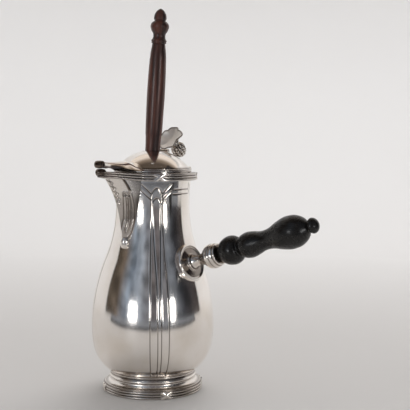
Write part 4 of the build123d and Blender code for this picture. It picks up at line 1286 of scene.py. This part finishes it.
def make_paper():
    """The floor, a disc, and the backdrop, the same paper swept up behind the pot on a quarter circle."""
    paper = plain_surface("pale_paper", [(0.30, SHADED_NEAR_PAPER), (1.5, FAR_PAPER)], 0.7)
    a = np.linspace(0, 2 * np.pi, FLOOR_SIDES + 1)[:-1]
    edge = [(FLOOR_R * math.cos(t), FLOOR_R * math.sin(t), 0) for t in a]
    fan = [(0, 1 + i, 1 + (i + 1) % FLOOR_SIDES) for i in range(FLOOR_SIDES)]
    stage_mesh("floor", [(0, 0, 0)] + edge, fan, paper)
    sweep = half_round((SWEEP_FROM, SWEEP_R), SWEEP_R, -90, 0, 22)
    sweep = np.vstack((sweep, (SWEEP_FROM + SWEEP_R, SWEEP_TOP)))
    columns = np.linspace(SWEEP_LEFT, SWEEP_RIGHT, 64)
    rows = [[around(m, d, z) for d in columns] for m, z in sweep]
    stage_mesh("backdrop", rows, grid_faces(len(rows), len(columns)), paper)


def make_room():
    """What the silver mirrors and nothing else sees: glowing sheets that paint the reflection of a dim room, with
    its curved wall in front, z = tall * sin t and r = wide * cos 0.92 t, the dark floor beyond the table's edge,
    and the ceiling."""
    degrees = np.linspace(ROOM_LEFT, ROOM_RIGHT, 60)
    wall, wall_uv = [], []
    for share in np.linspace(0.0, 1.0, 10):
        z = -0.02 + ROOM_TALL * math.sin(share * math.pi / 2)
        radius = ROOM_R * math.cos(share * math.pi / 2 * 0.92)
        wall.append([around(radius, d, z) for d in degrees])
        wall_uv.append([((d - ROOM_LEFT) / (ROOM_RIGHT - ROOM_LEFT), share) for d in degrees])
    surface = glow("dim_room_wall", ROOM_STOPS, patches=0.5)
    room = stage_mesh("dim_room", wall, grid_faces(10, 60), surface, wall_uv)

    degrees, steps = np.linspace(-TABLE_SIDE, TABLE_SIDE, 40), np.linspace(0, 1, 12)
    rows, uv = [], []
    for out in steps:
        far = TABLE_EDGE * (ROOM_R / TABLE_EDGE) ** out
        rows.append([around(far / math.cos(math.radians(d)) ** 0.25, d, 0.0012) for d in degrees])
        uv.append([(d / (2 * TABLE_SIDE) + 0.5, out) for d in degrees])
    surface = glow("beyond_the_table_dark", BEYOND_STOPS, "Y", 0.06)
    beyond = stage_mesh("beyond_the_table", rows, grid_faces(12, 40), surface, uv)

    degrees = np.linspace(0, 360, 49)[:-1]
    rows = np.array([[around(m, d, CEILING_Z) for d in degrees] for m in np.linspace(0.05, ROOM_R, 10)])
    toward = -(rows @ np.array(around(1.0, 0, 0.0))).ravel()
    uv = np.stack((np.zeros(toward.size), np.clip(toward / (2 * ROOM_R) + 0.5, 0, 1)), 1)
    surface = glow("dim_ceiling_brown", CEILING_STOPS, "Y")
    ceiling = stage_mesh("dim_ceiling", rows, grid_faces(10, 48, close_columns=True), surface, uv)
    for flag in (room, beyond, ceiling):
        flag.visible_camera = False
        flag.visible_diffuse = False
        flag.visible_shadow = False
        flag.visible_transmission = False


def softbox(name, degrees, height, metres, width, tall, watts):
    """A soft rectangular lamp that faces the pot's belly."""
    light = bpy.data.lights.new(name, "AREA")
    light.shape = "RECTANGLE"
    light.size, light.size_y = width, tall
    light.energy = watts
    lamp = bpy.data.objects.new(name, light)
    bpy.context.scene.collection.objects.link(lamp)
    place = Vector(around(metres, degrees, height))
    lamp.location = place
    lamp.rotation_euler = (Vector((0, 0, 0.12)) - place).to_track_quat("-Z", "Y").to_euler()
    return lamp


def make_world():
    """A pale world, brighter where the camera, a reflection or a view through glass sees it."""
    world = bpy.data.worlds.new("pale_room")
    bpy.context.scene.world = world
    world.use_nodes = True
    sky = world.node_tree
    ray = add_node(sky, "LightPath").outputs
    seen = add_math(sky, "MAXIMUM", ray["Is Camera Ray"], ray["Is Glossy Ray"])
    seen = add_math(sky, "MAXIMUM", seen, ray["Is Transmission Ray"])
    strength = add_math(sky, "MULTIPLY_ADD", seen, 0.35, 0.6)
    fill(sky, sky.nodes["Background"], {"Color": (0.90, 0.895, 0.89, 1), "Strength": strength})


def place_camera():
    """The photograph's camera, round from the spout towards the handle and aimed a little beside the axis."""
    eye = Vector(around(CAMERA_FAR, 0, CAMERA_UP))
    yaw = math.radians(CAMERA_POLAR + 180 + CAMERA_YAW)
    pitch = math.radians(CAMERA_PITCH)
    roll = math.radians(CAMERA_ROLL)
    forward = np.array((math.cos(yaw) * math.cos(pitch), math.sin(yaw) * math.cos(pitch), math.sin(pitch)))
    right = np.cross(forward, (0, 0, 1))
    right /= np.linalg.norm(right)
    up = np.cross(right, forward)
    right, up = (
        right * math.cos(roll) + up * math.sin(roll),
        up * math.cos(roll) - right * math.sin(roll),
    )
    data = bpy.data.cameras.new("photo_camera")
    data.sensor_width = SENSOR_MM
    data.lens = SENSOR_MM * FOCUS_PIXELS / IMAGE_PIXELS
    data.clip_start = 0.01
    camera = bpy.data.objects.new("photo_camera", data)
    bpy.context.scene.collection.objects.link(camera)
    turn = Matrix((right, up, -forward)).transposed().to_4x4()
    camera.matrix_world = Matrix.Translation(eye) @ turn
    bpy.context.scene.camera = camera


make_paper()
make_room()
softbox("left_softbox", -38, 0.16, 1.45, 0.36, 0.27, 2.4)
softbox("right_softbox", 37, 0.19, 1.45, 0.24, 0.33, 2.2)
softbox("top_softbox", 160, 1.5, 1.2, 1.6, 1.0, 17).visible_glossy = False
make_world()
place_camera()
bpy.context.scene.view_settings.view_transform = "Standard"
